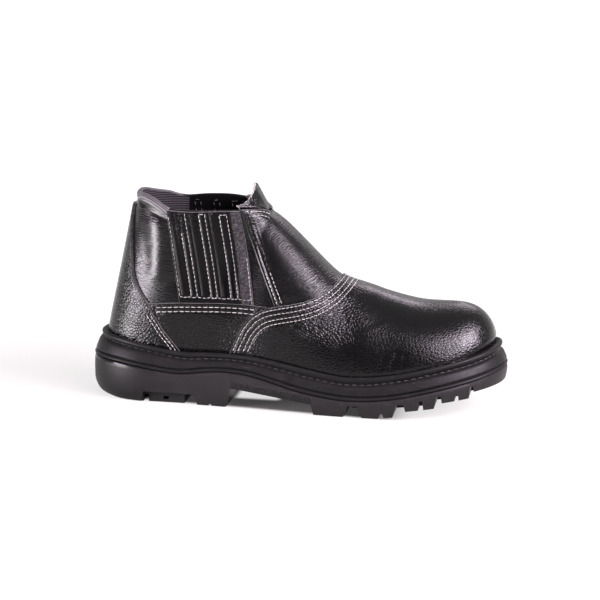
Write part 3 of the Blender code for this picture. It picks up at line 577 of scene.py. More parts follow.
# ------------------------------------------------------------ materials
class Finish:
    """A material with short ways to add nodes."""

    def __init__(self, name):
        self.made = bpy.data.materials.new(name)
        self.made.use_nodes = True
        self.tree = self.made.node_tree
        self.shader = self.tree.nodes["Principled BSDF"]
        self.spot = self.add("ShaderNodeTexCoord").outputs["Object"]

    def add(self, kind, **settings):
        node = self.tree.nodes.new(kind)
        for key, value in settings.items():
            setattr(node, key, value)
        return node

    def put(self, socket, value):
        if hasattr(value, "is_output"):
            self.tree.links.new(value, socket)
        else:
            socket.default_value = value

    def drawn(self, lengths, turn, spot=None):
        """Position turned, then measured in lengths along each axis."""
        node = self.add("ShaderNodeMapping", vector_type="TEXTURE")
        self.put(node.inputs["Vector"], spot or self.spot)
        node.inputs["Scale"].default_value = lengths
        node.inputs["Rotation"].default_value = [math.radians(a) for a in turn]
        return node.outputs["Vector"]

    def scaled(self, scale, turn=(0, 0, 0), spot=None):
        node = self.add("ShaderNodeMapping")
        self.put(node.inputs["Vector"], spot or self.spot)
        node.inputs["Scale"].default_value = scale
        node.inputs["Rotation"].default_value = [math.radians(a) for a in turn]
        return node.outputs["Vector"]

    def noise(self, scale, detail=2.0, rough=0.5, spot=None, distortion=0.0):
        node = self.add("ShaderNodeTexNoise")
        self.put(node.inputs["Vector"], spot or self.spot)
        node.inputs["Scale"].default_value = scale
        node.inputs["Detail"].default_value = detail
        node.inputs["Roughness"].default_value = rough
        node.inputs["Distortion"].default_value = distortion
        return node.outputs["Fac"]

    def cells(self, scale, feature="F1", spot=None, random=1.0):
        node = self.add("ShaderNodeTexVoronoi", feature=feature)
        self.put(node.inputs["Vector"], spot or self.spot)
        node.inputs["Scale"].default_value = scale
        node.inputs["Randomness"].default_value = random
        return node.outputs["Distance"]

    def bands(self, scale, direction="Z", distortion=0.0, spot=None, detail_scale=1.0):
        node = self.add("ShaderNodeTexWave", wave_type="BANDS", bands_direction=direction)
        self.put(node.inputs["Vector"], spot or self.spot)
        node.inputs["Scale"].default_value = scale
        node.inputs["Distortion"].default_value = distortion
        node.inputs["Detail Scale"].default_value = detail_scale
        return node.outputs["Fac"]

    def math(self, operation, a, b=0.0, c=0.0):
        node = self.add("ShaderNodeMath", operation=operation)
        for socket, value in zip(node.inputs, (a, b, c)):
            self.put(socket, value)
        return node.outputs[0]

    def span(self, value, low, high, to_low=0.0, to_high=1.0, kind="SMOOTHSTEP"):
        node = self.add("ShaderNodeMapRange", interpolation_type=kind)
        self.put(node.inputs["Value"], value)
        for key, number in (("From Min", low), ("From Max", high), ("To Min", to_low),
                            ("To Max", to_high)):
            node.inputs[key].default_value = number
        return node.outputs["Result"]

    def mix(self, factor, a, b):
        node = self.add("ShaderNodeMix", data_type="RGBA")
        self.put(node.inputs[0], factor)
        for socket, value in ((node.inputs[6], a), (node.inputs[7], b)):
            self.put(socket, (*value, 1.0) if isinstance(value, tuple) else value)
        return node.outputs[2]

    def shifted(self, amount, scale):
        """Object position pushed about by noise."""
        node = self.add("ShaderNodeTexNoise")
        self.put(node.inputs["Vector"], self.spot)
        node.inputs["Scale"].default_value = scale
        node.inputs["Detail"].default_value = 2.0
        less = self.add("ShaderNodeVectorMath", operation="SUBTRACT")
        self.put(less.inputs[0], node.outputs["Color"])
        less.inputs[1].default_value = (0.5, 0.5, 0.5)
        size = self.add("ShaderNodeVectorMath", operation="SCALE")
        self.put(size.inputs[0], less.outputs[0])
        size.inputs["Scale"].default_value = amount
        total = self.add("ShaderNodeVectorMath", operation="ADD")
        self.put(total.inputs[0], self.spot)
        self.put(total.inputs[1], size.outputs[0])
        return total.outputs[0]

    def axis(self, name):
        node = self.add("ShaderNodeSeparateXYZ")
        self.put(node.inputs[0], self.spot)
        return node.outputs[name]

    def bump(self, height, strength, distance, under=None):
        node = self.add("ShaderNodeBump")
        node.inputs["Strength"].default_value = strength
        node.inputs["Distance"].default_value = distance
        self.put(node.inputs["Height"], height)
        if under is not None:
            self.put(node.inputs["Normal"], under)
        return node.outputs["Normal"]

    def set(self, **sockets):
        for key, value in sockets.items():
            name = key.replace("_", " ")
            socket = self.shader.inputs[name]
            if isinstance(value, tuple) and len(value) == 3:
                value = (*value, 1.0)
            self.put(socket, value)
        return self.made


def grain_leather(name, cell, strength, tint, low, high, shine):
    """Pebbled, finished leather: domed cells parted by fine creases."""
    f = Finish(name)
    spot = f.shifted(0.0007, 260)
    spot = f.drawn((1.0, 1.0, 0.80), (0, -24, 0), spot)
    dome = f.span(f.cells(1 / cell, spot=spot), 0.0, 0.72, 1.0, 0.0)
    gap = f.span(f.cells(1 / cell, "DISTANCE_TO_EDGE", spot=spot), 0.0, 0.24)
    fine = f.noise(3400, 2.0, 0.6)
    height = f.math("ADD", f.math("MULTIPLY", dome, 0.34), f.math("MULTIPLY", gap, 0.48))
    height = f.math("ADD", height, f.math("MULTIPLY", fine, 0.04))
    # the grain opens at the flex line and on the counter, and is drawn flat between
    x, z = f.axis("X"), f.axis("Z")
    flex = f.math("MULTIPLY", f.span(x, -0.010, 0.006), f.span(x, 0.030, 0.054, 1.0, 0.0))
    flex = f.math("MULTIPLY", flex, f.span(z, 0.044, 0.062))
    depth = f.math("MULTIPLY_ADD", flex, 1.0, 0.30)
    depth = f.math("ADD", depth, f.span(x, -0.098, -0.086, 0.30, 0.0))
    depth = f.math("ADD", depth, f.span(x, -0.030, -0.004, 0.20, 0.0))
    depth = f.math("ADD", depth, f.span(x, 0.088, 0.112, 0.0, 0.18))
    calm = f.math("MULTIPLY", depth, f.span(f.noise(42, 1.0), 0.34, 0.66, 0.74, 1.0))
    height = f.math("MULTIPLY", height, calm)
    broad = f.bump(f.noise(120, 2.0, 0.5), 0.10, 0.0010)
    broad = f.bump(f.span(x, -0.003, 0.037, 1.0, 0.0), 1.0, 0.0048, broad)
    bump = f.bump(height, strength, 0.00037, broad)
    rough = f.math("ADD", f.span(gap, 0.0, 1.0, high, low),
                   f.span(f.noise(60, 3.0), 0.3, 0.7, -0.02, 0.04))
    # The creases are painted darker, to 45% of the tint: painted shade in the creases.
    colour = f.mix(gap, (tint[0] * 0.45, tint[1] * 0.45, tint[2] * 0.45), tint)
    f.set(Base_Color=colour, Roughness=rough, Normal=bump)
    return f.set(Specular_IOR_Level=shine)


def smooth_leather(name, tint, turn, rough, shine, strength=0.75, crimp_and_painted_sheen=False):
    """Softer leather with fine drawn wrinkles across the pull."""
    f = Finish(name)
    spot = f.shifted(0.0040, 90)
    lines = f.noise(1.0, 2.0, 0.55, f.drawn((0.0052, 0.0040, 0.00125), (0, turn, 0), spot))
    lines = f.span(lines, 0.30, 0.70)
    pores = f.span(f.cells(1150, "DISTANCE_TO_EDGE", f.shifted(0.0006, 900)), 0.0, 0.2)
    fine = f.noise(4200, 2.0, 0.6)
    where = f.span(f.noise(36, 1.5), 0.34, 0.60, 0.35, 1.0)
    ripple = f.bands(2 * math.pi / (20 * 0.0017), "Z", 5.0, f.drawn((1.0, 1.0, 1.0), (0, turn, 0), spot),
                     1.6)
    height = f.math("ADD", f.math("MULTIPLY", lines, 0.6), f.math("MULTIPLY", ripple, 0.5))
    height = f.math("MULTIPLY", height, where)
    height = f.math("ADD", height, f.math("MULTIPLY", pores, 0.10))
    height = f.math("ADD", height, f.math("MULTIPLY", fine, 0.03))
    broad = f.bump(f.noise(80, 2.0), 0.06, 0.0012)
    bump = f.bump(height, strength, 0.00020, broad)
    if crimp_and_painted_sheen:
        x, z = f.axis("X"), f.axis("Z")
        w = f.math("ADD", x, f.math("MULTIPLY_ADD", z, 0.173, -0.0134 + 0.0006))
        strip = f.math("MULTIPLY", f.span(w, -0.0385, -0.0360), f.span(w, -0.0305, -0.0285, 1.0, 0.0))
        corner = f.math("MULTIPLY", f.span(z, 0.117, 0.130), f.span(w, -0.069, -0.064, 1.0, 0.0))
        crimp = f.noise(1.0, 2.0, 0.6, f.drawn((0.0034, 0.0030, 0.0012), (0, -24, 0)))
        crimp = f.math("MULTIPLY", f.span(crimp, 0.32, 0.68), f.math("MAXIMUM", strip, corner))
        bump = f.bump(crimp, 0.9, 0.00062, bump)
    even = f.math("ADD", f.span(lines, 0.0, 1.0, rough + 0.06, rough),
                  f.span(f.noise(45, 3.0), 0.3, 0.7, -0.03, 0.04))
    # The troughs of the wrinkle lines are painted darker, to 70% of the tint: painted shade in the
    # wrinkles.
    colour = f.mix(lines, (tint[0] * 0.7, tint[1] * 0.7, tint[2] * 0.7), tint)
    # The strip beside the gore is painted lighter, most on the tops of its crimps: painted highlight.
    if crimp_and_painted_sheen:
        colour = f.mix(f.math("MULTIPLY", strip, f.span(crimp, 0.1, 0.9, 0.35, 1.0)), colour,
                       (0.034, 0.0315, 0.034))
    f.set(Base_Color=colour, Roughness=even, Normal=bump)
    return f.set(Specular_IOR_Level=shine)


def moulded(name, tint, ribs):
    """Cast sole: matt skin with a few pale specks, ribs at the arch's edge, and with ribs painted shade
    at the heel end and in the ribs.
    """
    f = Finish(name)
    skin = f.noise(2400, 3.0, 0.65)
    flow = f.noise(130, 3.0, 0.55)
    speck = f.span(f.cells(340, spot=f.shifted(0.002, 200)), 0.035, 0.06, 1.0, 0.0)
    rare = f.span(f.noise(90, 1.0), 0.60, 0.68)
    speck = f.math("MULTIPLY", speck, rare)
    scuff = f.span(f.noise(1.0, 4.0, 0.6, f.scaled((120, 160, 700))), 0.62, 0.74)
    height = f.math("ADD", f.math("MULTIPLY", skin, 0.5), f.math("MULTIPLY", flow, 0.25))
    bump = f.bump(height, 0.16, 0.00025)
    if ribs:
        x, z = f.axis("X"), f.axis("Z")
        line = f.bands(2 * math.pi / (20 * 0.0016), "X")
        here = f.math("MULTIPLY", f.span(x, -0.0445, -0.0425), f.span(x, 0.0150, 0.0172, 1.0, 0.0))
        slope = f.math("MULTIPLY_ADD", x, -0.10, 0.0150)
        here = f.math("MULTIPLY", here, f.span(f.math("SUBTRACT", z, slope), -0.0002, 0.0006, 1.0, 0.0))
        bump = f.bump(f.math("MULTIPLY", line, here), 0.9, 0.0007, bump)
    colour = f.mix(flow, (tint[0] * 0.82, tint[1] * 0.82, tint[2] * 0.82),
                   (tint[0] * 1.18, tint[1] * 1.18, tint[2] * 1.18))
    colour = f.mix(f.math("MULTIPLY", scuff, 0.35), colour, (0.045, 0.043, 0.044))
    colour = f.mix(speck, colour, (0.22, 0.21, 0.20))
    rough = f.math("ADD", f.span(flow, 0.3, 0.7, 0.40, 0.50), f.math("MULTIPLY", scuff, 0.08))
    if ribs:
        # The heel end of the outsole is painted darker: painted shade.
        colour = f.mix(f.span(x, -0.118, -0.080, 0.45, 0.0), colour, (0.002, 0.0019, 0.002))
        # The ribs at the arch's edge are painted darker, most in their grooves: painted shade.
        colour = f.mix(f.math("MULTIPLY", here, f.span(line, 0.2, 0.8, 0.75, 0.15)), colour,
                       (0.0015, 0.0014, 0.0015))
        first, last = (float(welt_of(np.array(q)) - drop_of["ridge"](np.array(q)))
                       for q in (-0.140, -0.112))
        edge = f.math("MULTIPLY_ADD", x, (last - first) / 0.028, first + 0.140 * (last - first) / 0.028)
        worn = f.math("MULTIPLY", f.span(f.math("SUBTRACT", z, edge), -0.0034, -0.0018),
                      f.span(x, -0.124, -0.114, 1.0, 0.0))
        rough = f.math("MULTIPLY", rough, f.math("MULTIPLY_ADD", worn, -0.74, 1.0))
    f.set(Base_Color=colour, Roughness=rough, Normal=bump)
    return f.set(Specular_IOR_Level=0.13)


def thread(name, tint):
    f = Finish(name)
    twist = f.bands(2 * math.pi / (20 * 0.0007), "DIAGONAL", 1.5)
    soil = f.span(f.noise(230, 3.0, 0.6), 0.3, 0.72)
    colour = f.mix(soil, (tint[0] * 0.62, tint[1] * 0.60, tint[2] * 0.58), tint)
    bump = f.bump(twist, 0.35, 0.00012)
    f.set(Base_Color=colour, Normal=bump)
    return f.set(Roughness=0.68, Sheen_Weight=0.15, Specular_IOR_Level=0.3)


def lining_cloth(name):
    """Ribbed grey cloth behind the heel, black elastic behind the gores."""
    f = Finish(name)
    rib = f.bands(2 * math.pi / (20 * 0.0017), "Z", 0.6)
    weave = f.bands(2 * math.pi / (20 * 0.0009), "X", 0.8)
    web = f.bands(2 * math.pi / (20 * 0.0013), "X", 0.3)
    x = f.axis("X")
    gore = f.math("MULTIPLY", f.span(x, -0.0895, -0.0880), f.span(x, -0.0400, -0.0385, 1.0, 0.0))
    cloth = f.math("ADD", f.math("MULTIPLY", rib, 0.8), f.math("MULTIPLY", weave, 0.25))
    node = f.add("ShaderNodeMix", data_type="FLOAT")
    f.put(node.inputs[0], gore)
    f.put(node.inputs[2], cloth)
    f.put(node.inputs[3], f.math("MULTIPLY", web, 0.6))
    bump = f.bump(node.outputs[0], 0.6, 0.0005)
    grey = f.mix(rib, (0.009, 0.0085, 0.0094), (0.046, 0.043, 0.048))
    colour = f.mix(gore, grey, (0.0012, 0.0011, 0.0013))
    f.set(Base_Color=colour, Normal=bump)
    return f.set(Roughness=0.9, Specular_IOR_Level=0.06)


def binding_cloth(name):
    """Close woven tape folded over the collar."""
    f = Finish(name)
    weave = f.bands(2 * math.pi / (20 * 0.0013), "DIAGONAL", 0.8)
    worn = f.noise(420, 3.0, 0.6)
    colour = f.mix(weave, (0.016, 0.0152, 0.0162), (0.095, 0.089, 0.096))
    colour = f.mix(f.span(worn, 0.58, 0.75, 0.0, 0.5), colour, (0.15, 0.142, 0.15))
    f.set(Base_Color=colour, Normal=f.bump(weave, 0.6, 0.0004))
    return f.set(Roughness=0.62, Specular_IOR_Level=0.3)


def raw_hide(name, dark, pale, cut):
    """Unfinished flesh side or cut edge of the leather."""
    f = Finish(name)
    fibre = f.noise(2100, 4.0, 0.7)
    patch = f.noise(260, 3.0, 0.6)
    colour = f.mix(f.span(f.math("ADD", f.math("MULTIPLY", fibre, 0.6),
                                 f.math("MULTIPLY", patch, 0.4)), cut, cut + 0.22), dark, pale)
    f.set(Base_Color=colour, Normal=f.bump(fibre, 0.7, 0.0005))
    return f.set(Roughness=0.92, Sheen_Weight=0.3, Specular_IOR_Level=0.2)


GRAIN = grain_leather("grain_leather", 0.0023, 0.9, (0.0020, 0.0018, 0.0020), 0.11, 0.27, 0.26)
SMOOTH = smooth_leather("quarter_leather", (0.0022, 0.0020, 0.0022), 6, 0.17, 0.28, 0.9)
SHIELD = smooth_leather("shield_leather", (0.0024, 0.0022, 0.0024), -34, 0.20, 0.28, 1.0)
GATHER = smooth_leather("gore_leather", (0.0020, 0.0018, 0.0020), -80, 0.19, 0.10, 0.35, True)
EDGE = raw_hide("cut_edge", (0.010, 0.0095, 0.0095), (0.050, 0.048, 0.046), 0.42)
SUEDE = raw_hide("flesh_side", (0.12, 0.078, 0.05), (0.40, 0.35, 0.30), 0.44)
PALE_EDGE = raw_hide("pale_edge", (0.15, 0.13, 0.115), (0.42, 0.40, 0.38), 0.40)
# The midsole is tinted darker than the outsole: partly its own tone, partly painted shade on its
# upward-facing band and bead.
MIDSOLE_SKIN = moulded("midsole_skin", (0.0062, 0.0060, 0.0063), False)
OUTSOLE_SKIN = moulded("outsole_skin", (0.0128, 0.0123, 0.0127), True)
THREAD = thread("pale_thread", (0.42, 0.41, 0.40))
DARK_THREAD = thread("dark_thread", (0.020, 0.0195, 0.0195))
LINING_THREAD = thread("lining_thread", (0.06, 0.058, 0.057))
LINING = lining_cloth("lining_cloth")
BIND = binding_cloth("binding_cloth")

# ------------------------------------------------------------ upper
PIECES = []


def keep_piece(made, slot, *nodes):
    PIECES.append((made, slot, nodes))
    return made


def around(u):
    side = np.where(u < 0.5, -1.0, 1.0)
    s = np.where(u < 0.5, 8 * u, 8 * (1 - u))
    return side, np.clip(s, 0, 4)


def build_upper():
    columns, rows, rim, inner_rows = 360, 120, 8, 44
    u = np.linspace(0, 1, columns + 1)
    side, s = around(u)
    open_top = s < 2
    height = top_line(side, s)[..., 2] - np.where(open_top, WALL / 2, 0.0)
    last = np.where(open_top, t_at_height(side, s, height), 1.0)
    share = np.linspace(0, 1, rows + 1)
    side2, s2 = side[:, None], s[:, None]
    t = last[:, None] * share[None]
    base, n = outer(side2, s2, t), normal(side2, s2, t)
    climb = arc_lengths(base, 1)
    fall = (climb[:, -1:] - climb) / BINDING
    bound = (1 - smooth(-95 * MM, -89.5 * MM, base[:, -1, 0]))[:, None]
    roll = BINDING_RISE * bound * np.sqrt(np.clip(1 - (2 * fall - 1) ** 2, 0, 1))
    lift = relief(np.broadcast_to(side2, t.shape), base) * smooth(0.8, 1.6, fall) + roll
    face = base + n * lift[..., None]
    cloth = ((fall < 1.0) & (bound > 0.35)).astype(int)
    up = outer(side, s, last) - outer(side, s, last - 0.02)
    up /= np.linalg.norm(up, axis=-1, keepdims=True)
    crest = face[:, -1] - n[:, -1] * WALL / 2
    angle = np.linspace(0, math.pi, rim + 1)[None, :, None]
    lip = crest[:, None] + (np.cos(angle) * n[:, -1][:, None]
                            + np.sin(angle) * up[:, None]) * WALL / 2
    ti = last[:, None] * np.linspace(1, 0, inner_rows + 1)[None]
    inside = outer(side2, s2, ti) - normal(side2, s2, ti) * WALL
    fade = np.linspace(0, 1, inner_rows + 1)[None, :, None]
    inside += (lip[:, -1] - inside[:, 0])[:, None] * (1 - smooth(0, 0.12, fade))
    shell = Shell()
    shell.grid(face, 2 * cloth[:-1, :-1])
    closed = (s[:-1] >= 2) & (s[1:] >= 2)
    shell.grid(lip, np.repeat(2 * cloth[:-1, -1:], rim, 1), np.repeat(closed[:, None], rim, 1))
    shell.grid(inside, 1)
    shell.grid(np.stack([inside[:, -1], face[:, 0]], 1), 1)
    return shell.build("upper_shell", [SMOOTH, LINING, BIND])


keep_piece(build_upper(), "upper", "upper")


# ------------------------------------------------------------ overlays
def to_row(side, s, v, lift=-3.5):
    """Rows from just inside the sole's lip to the top line."""
    low = t_at_height(side, s, welt_of(foot_x(s)) + lift * MM)
    return low + (1 - low) * v


def column_at(side, v, start, stop, beyond, lift=-3.5):
    a, b = np.full(v.shape, start), np.full(v.shape, stop)
    for _ in range(40):
        m = 0.5 * (a + b)
        ahead = beyond(m, outer(side, m, to_row(side, m, v, lift)))
        b = np.where(ahead, m, b)
        a = np.where(ahead, a, m)
    return 0.5 * (a + b)


def vamp_place(side, u, v):
    start = column_at(side, v[:1], 0.9, 3.6, lambda s, p: p[..., 0] > vamp_edge(p[..., 2]))
    s = start + (4 - start) * u
    return s, to_row(side, s, v)


def counter_place(side, u, v):
    row = v * 0.765
    stop = column_at(side, row[:1], 0.0, 1.9, lambda s, p: s > counter_edge(p[..., 2]))
    s = stop * (1 - u)
    return s, to_row(side, s, row)


def shield_place(side, u, v):
    def row(s):
        x = foot_x(s) * 0 + np.interp(s, (1.0, 2.0, 2.7), (-35 * MM, -16 * MM, 34 * MM))
        low = t_at_height(side, s, 62 * MM + np.maximum(x + 16 * MM, 0) * 0.36)
        return low + (1 - low) * v
    a, b = np.full(v[:1].shape, 1.02), np.full(v[:1].shape, 2.5)
    for _ in range(40):
        m = 0.5 * (a + b)
        x = np.interp(m, (1.0, 2.0, 2.7), (-35 * MM, -16 * MM, 34 * MM))
        low = t_at_height(side, m, 62 * MM + np.maximum(x + 16 * MM, 0) * 0.36)
        p = outer(side, m, low + (1 - low) * v[:1])
        ahead = p[..., 0] > shield_edge(p[..., 2])
        b = np.where(ahead, m, b)
        a = np.where(ahead, a, m)
    start = 0.5 * (a + b)
    s = start + (2.66 - start) * u
    return s, row(s)


def side_place(side, u, v):
    s = 0.60 + (2.25 - 0.60) * u
    low = welt_of(foot_x(s)) - 3.5 * MM
    x = foot_x(s)
    for _ in range(6):
        x = outer(side, s, t_at_height(side, s, side_top(x)))[..., 0]
    top = side_top(x)
    return s, t_at_height(side, s, low + (top - low) * v)


def gore_place(side, u, v):
    top = 138.6 * MM + 1.6 * MM * smooth(0.2, 0.9, u)
    z = 71.5 * MM + (top - 71.5 * MM) * v
    x = gore_back(z) + (gore_front(z) - gore_back(z)) * u
    return locate(side, x, z, 0.3, 1.99)


def inset_line(place, side, distance, rows=240, first=0.0, last=1.0, reach=0.45):
    """Column and row of the line that keeps a distance from the edge u = 0."""
    u, v = np.meshgrid(np.linspace(0, reach, 120), np.linspace(first, last, rows), indexing="ij")
    s, t = place(side, u, v)
    p = outer(side, s, t)
    d = away_from(p, p[0])
    pick = np.array([np.interp(distance, np.maximum.accumulate(d[:, j]), u[:, j])
                     for j in range(rows)])
    at = np.array([[np.interp(pick[j], u[:, j], s[:, j]), np.interp(pick[j], u[:, j], t[:, j])]
                   for j in range(rows)])
    return at[:, 0], at[:, 1]


def drawn_line(side, points, count=120):
    """Column and row along a line of (x, z) points in mm."""
    pts = np.array(points, float)
    length = np.concatenate([[0], np.cumsum(np.hypot(*np.diff(pts, axis=0).T))])
    q = np.linspace(0, length[-1], count)
    x, z = np.interp(q, length, pts[:, 0]), np.interp(q, length, pts[:, 1])
    return locate(side, x * MM, z * MM, 0.05, 3.9)


def lean_x(w, z):
    return w + GORE_LEAN * (z - 77.5)


def vamp_lip(t, away):
    """The vamp's back edge stands off the instep at the ridge."""
    return 0.9 * MM * smooth(0.92, 0.995, t) * np.exp(-(away / 2.4) ** 2)


def on_lip(away):
    return lambda side, s, t, base: OVERLAY_TOP + vamp_lip(t, away)


# every seam: side, columns, rows, height over the last, thread
Seam = namedtuple("Seam", "side s t lift thread long gap")
SEAMS = []
GORE_LINES = {}
ROWS_OF = {}
for side in (-1.0, 1.0):
    rows = []
    for distance in (1.9, 5.3, 8.9, 11.9):
        s, t = inset_line(vamp_place, side, distance * MM, first=0.06, last=0.995, reach=0.3)
        rows.append((s, t))
        SEAMS.append(Seam(side, s, t, on_lip(distance), "pale", 2.45, 0.55))
    ROWS_OF["vamp", side] = rows
    rows = []
    for distance in (1.9, 4.3):
        s, t = inset_line(counter_place, side, distance * MM, first=0.02, last=0.40, reach=0.6)
        low = outer(side, s, t)[:, 2] < 62.5 * MM
        s, t = s[low], t[low]
        rows.append((s, t))
        SEAMS.append(Seam(side, s, t, OVERLAY_TOP, "pale", 2.45, 0.55))
    ROWS_OF["counter", side] = rows
    rows = []
    for distance in (2.6, 5.9):
        s, t = inset_line(shield_place, side, distance * MM, first=0.12, last=0.975, reach=0.6)
        rows.append((s, t))
        low = outer(side, s, t)[:, 2] < 98 * MM
        SEAMS.append(Seam(side, s[low], t[low], 1.3 * MM, "pale", 2.45, 0.55))
        SEAMS.append(Seam(side, s[~low], t[~low], 1.3 * MM, "dark", 2.6, 1.3))
    ROWS_OF["shield", side] = rows
    rows = []
    for drop in (3.0, 6.1):
        x = np.linspace(-99.5, -27.5, 120)
        z = side_top(x * MM) - drop * MM
        s, t = locate(side, x * MM, z, 0.1, 2.4)
        rows.append((s, t))
        SEAMS.append(Seam(side, s, t, 1.3 * MM, "pale", 3.3, 0.9))
    ROWS_OF["side", side] = rows
    rows = []

    def gore_seam(points, thread="pale", lift=1.25):
        s, t = drawn_line(side, points)
        rows.append((s, t))
        SEAMS.append(Seam(side, s, t, lift * MM, thread, 2.7, 0.5))
    foot = GORE_FOOT
    gore_seam([(gore_back(z * MM) / MM + 1.2, z) for z in np.linspace(134.5, foot, 30)])
    for k, (a, b) in enumerate(PLEAT_SEAMS):
        top_a = 123.5 if k == 0 else 137.2
        gore_seam([(lean_x(a, top_a), top_a), (lean_x(a, foot), foot)])
        gore_seam([(lean_x(b, 137.6), 137.6), (lean_x(b, foot), foot)])
        if k > 0:
            gore_seam([(lean_x(a, 137.4), 137.4), (lean_x(b, 137.8), 137.8)])
    foot_x_mm = [gore_back(foot * MM) / MM + 1.2] + [w for pair in PLEAT_SEAMS for w in pair]
    foot_x_mm.append(gore_front(foot * MM) / MM - 1.0)
    for a, b in zip(foot_x_mm[:-1], foot_x_mm[1:]):
        gore_seam([(a, foot), (0.5 * (a + b), foot - 0.45), (b, foot + 0.1)])
    gore_seam([(gore_front(z * MM) / MM - 1.0, z) for z in np.linspace(106.5, 71.0, 30)])
    ROWS_OF["gore", side] = rows
    rows = []
    for drop in (0.9, 2.9):
        s = np.linspace(1.24 if drop < 2 else 1.34, 1.985, 90)
        z = top_line(side, s)[:, 2] - drop * MM
        t = t_at_height(side, s, z)
        rows.append((s, t))
        SEAMS.append(Seam(side, s, t, 1.3 * MM, "pale", 2.9, 0.8))
    ROWS_OF["shield", side] += rows


def seam_sink(key, depth=0.32, width=0.9):
    """Leather drawn down along its seams."""
    def extra(side, s, t, base):
        total = np.zeros(s.shape)
        for ls, lt in ROWS_OF[key, side]:
            d = away_from(base, outer(side, ls, lt))
            total -= depth * MM * np.exp(-(d / (width * MM)) ** 2)
        return total
    return extra


def ridge_seam(s, t):
    return (t >= 0.99999) & (s >= 2)


def middle_seam(s, t):
    return (s <= 1e-6) | (s >= 4 - 1e-6) | ridge_seam(s, t)


def tucked(key):
    """Seams, and the leather drawn in where it meets the sole."""
    sewn = seam_sink(key)

    def extra(side, s, t, base):
        over = (base[..., 2] - welt_of(foot_x(s))) / MM
        tuck = 0.30 * (1 - smooth(0.2, 2.4, over))
        tuck = tuck + 0.9 * (1 - smooth(0.5, 5.0, over)) * smooth(3.42, 3.75, s)
        return sewn(side, s, t, base) - tuck * MM
    return extra


def vamp_extra(side, s, t, base):
    return tucked("vamp")(side, s, t, base) + vamp_lip(t, away_from(base, base[0]) / MM)


vamp = panel("vamp", vamp_place, spaced(150, 190, both=False), np.linspace(0, 1, 110),
             0.10 * MM, OVERLAY_TOP, [GRAIN, EDGE], ("u0",), extra=vamp_extra,
             seam=middle_seam)
keep_piece(vamp, "grain_overlay", "vamp")

counter = panel("heel_counter", counter_place, spaced(60, 70, both=False),
                np.concatenate([np.linspace(0, 0.97, 110), [0.985, 0.993, 0.997, 0.999, 1.0]]),
                0.10 * MM, OVERLAY_TOP, [GRAIN, EDGE], ("u0", "v1"), extra=tucked("counter"),
                seam=middle_seam)
keep_piece(counter, "grain_overlay", "heel_counter")

def shield_extra(side, s, t, base):
    """Border of the shield: a puffed strip between its seams."""
    d = away_from(base, base[0]) / MM
    puff = 0.6 * np.sin(np.clip(d / 8.2, 0, 1) * math.pi) ** 0.8
    es, et = vamp_place(side, np.zeros((1, 120)), np.linspace(0, 1, 120)[None])
    away = away_from(base, outer(side, es[0], et[0])) / MM
    sink = 0.85 * np.exp(-(away / 5.0) ** 2) * (1 - smooth(2.0, 18.0, base[..., 0] / MM))
    return seam_sink("shield", 0.34)(side, s, t, base) + (puff - sink) * MM


shield = panel("instep_shield", shield_place, spaced(70, 90, both=False),
               np.concatenate([np.linspace(0, 0.975, 90), [0.985, 0.991, 0.995, 0.998, 1.0]]),
               0.08 * MM, 1.3 * MM, [SHIELD, EDGE, GRAIN], ("u0", "v1"), radius=0.6 * MM,
               extra=shield_extra, seam=ridge_seam, border=7.6 * MM)
keep_piece(shield, "upper")


def side_extra(side, s, t, base):
    over = (base[..., 2] - welt_of(foot_x(s))) / MM
    return seam_sink("side", 0.3)(side, s, t, base) - 0.5 * MM * (1 - smooth(0.2, 3.0, over))


side_panels = panel("side_panels", side_place, np.linspace(0, 1, 130),
                    spaced(36, 40, both=True), 0.06 * MM, 1.3 * MM, [GRAIN, EDGE], ("v1",),
                    radius=0.6 * MM, extra=side_extra)
keep_piece(side_panels, "grain_overlay")


def pleats(side, s, t, base):
    """Folded strips over the elastic: a rounded fold, then two sewn lines."""
    x, z = base[..., 0] / MM, base[..., 2] / MM
    w = x - GORE_LEAN * (z - 77.5)
    rise = np.zeros(w.shape)
    for k, fold in enumerate(PLEAT_FOLDS):
        wide = 14.2 if k < 3 else 7.2
        p = w - fold
        top = 1.45 if k < 3 else 0.9
        body = np.where(p >= 0, top * (0.45 * np.exp(-(p / 1.1) ** 2) + 0.55 * np.exp(-p / 6.0)),
                        top * np.exp(-(p / 0.7) ** 2))
        body = np.where(p > wide, 0.0, body)
        rise = np.maximum(rise, body)
    for a, b in PLEAT_SEAMS:
        q = (w - a) / (b - a)
        rise += 0.42 * np.sin(np.clip(q, 0, 1) * math.pi) ** 0.7
        rise -= 0.25 * (np.exp(-((w - a) / 0.8) ** 2) + np.exp(-((w - b) / 0.8) ** 2))
    # the gathered top corner is crumpled
    crumple = smooth(120.0, 131.0, z) * (1 - smooth(-72.0, -66.0, w)) * smooth(-83.0, -79.5, w)
    knots = (np.sin(1.9 * x + 1.3 * z + 2.0 * np.sin(0.7 * z)) * np.sin(1.1 * x - 1.7 * z + 0.6)
             + 0.6 * np.sin(2.9 * z + 1.2 * np.sin(1.4 * x)))
    rise += 0.34 * crumple * knots
    soft = smooth(112.0, 134.0, z) * (1 - smooth(-50.0, -40.0, w))
    rise += 0.13 * soft * np.sin(1.45 * z + 0.9 * x + 1.5 * np.sin(0.5 * x))
    strip = np.clip((w + 36.2) / 6.9, 0, 1)
    rise += 2.5 * smooth(0, 0.2, strip) * (1 - strip) ** 0.9 + 0.12 * np.sin(0.9 * z + 0.8 * w) * np.exp(
        -((w + 33) / 3.0) ** 2)
    calm = smooth(73.5, 78.5, z)
    return (rise * calm - 0.75 * (1 - calm)) * MM + seam_sink("gore", 0.16, 0.7)(side, s, t, base) * calm


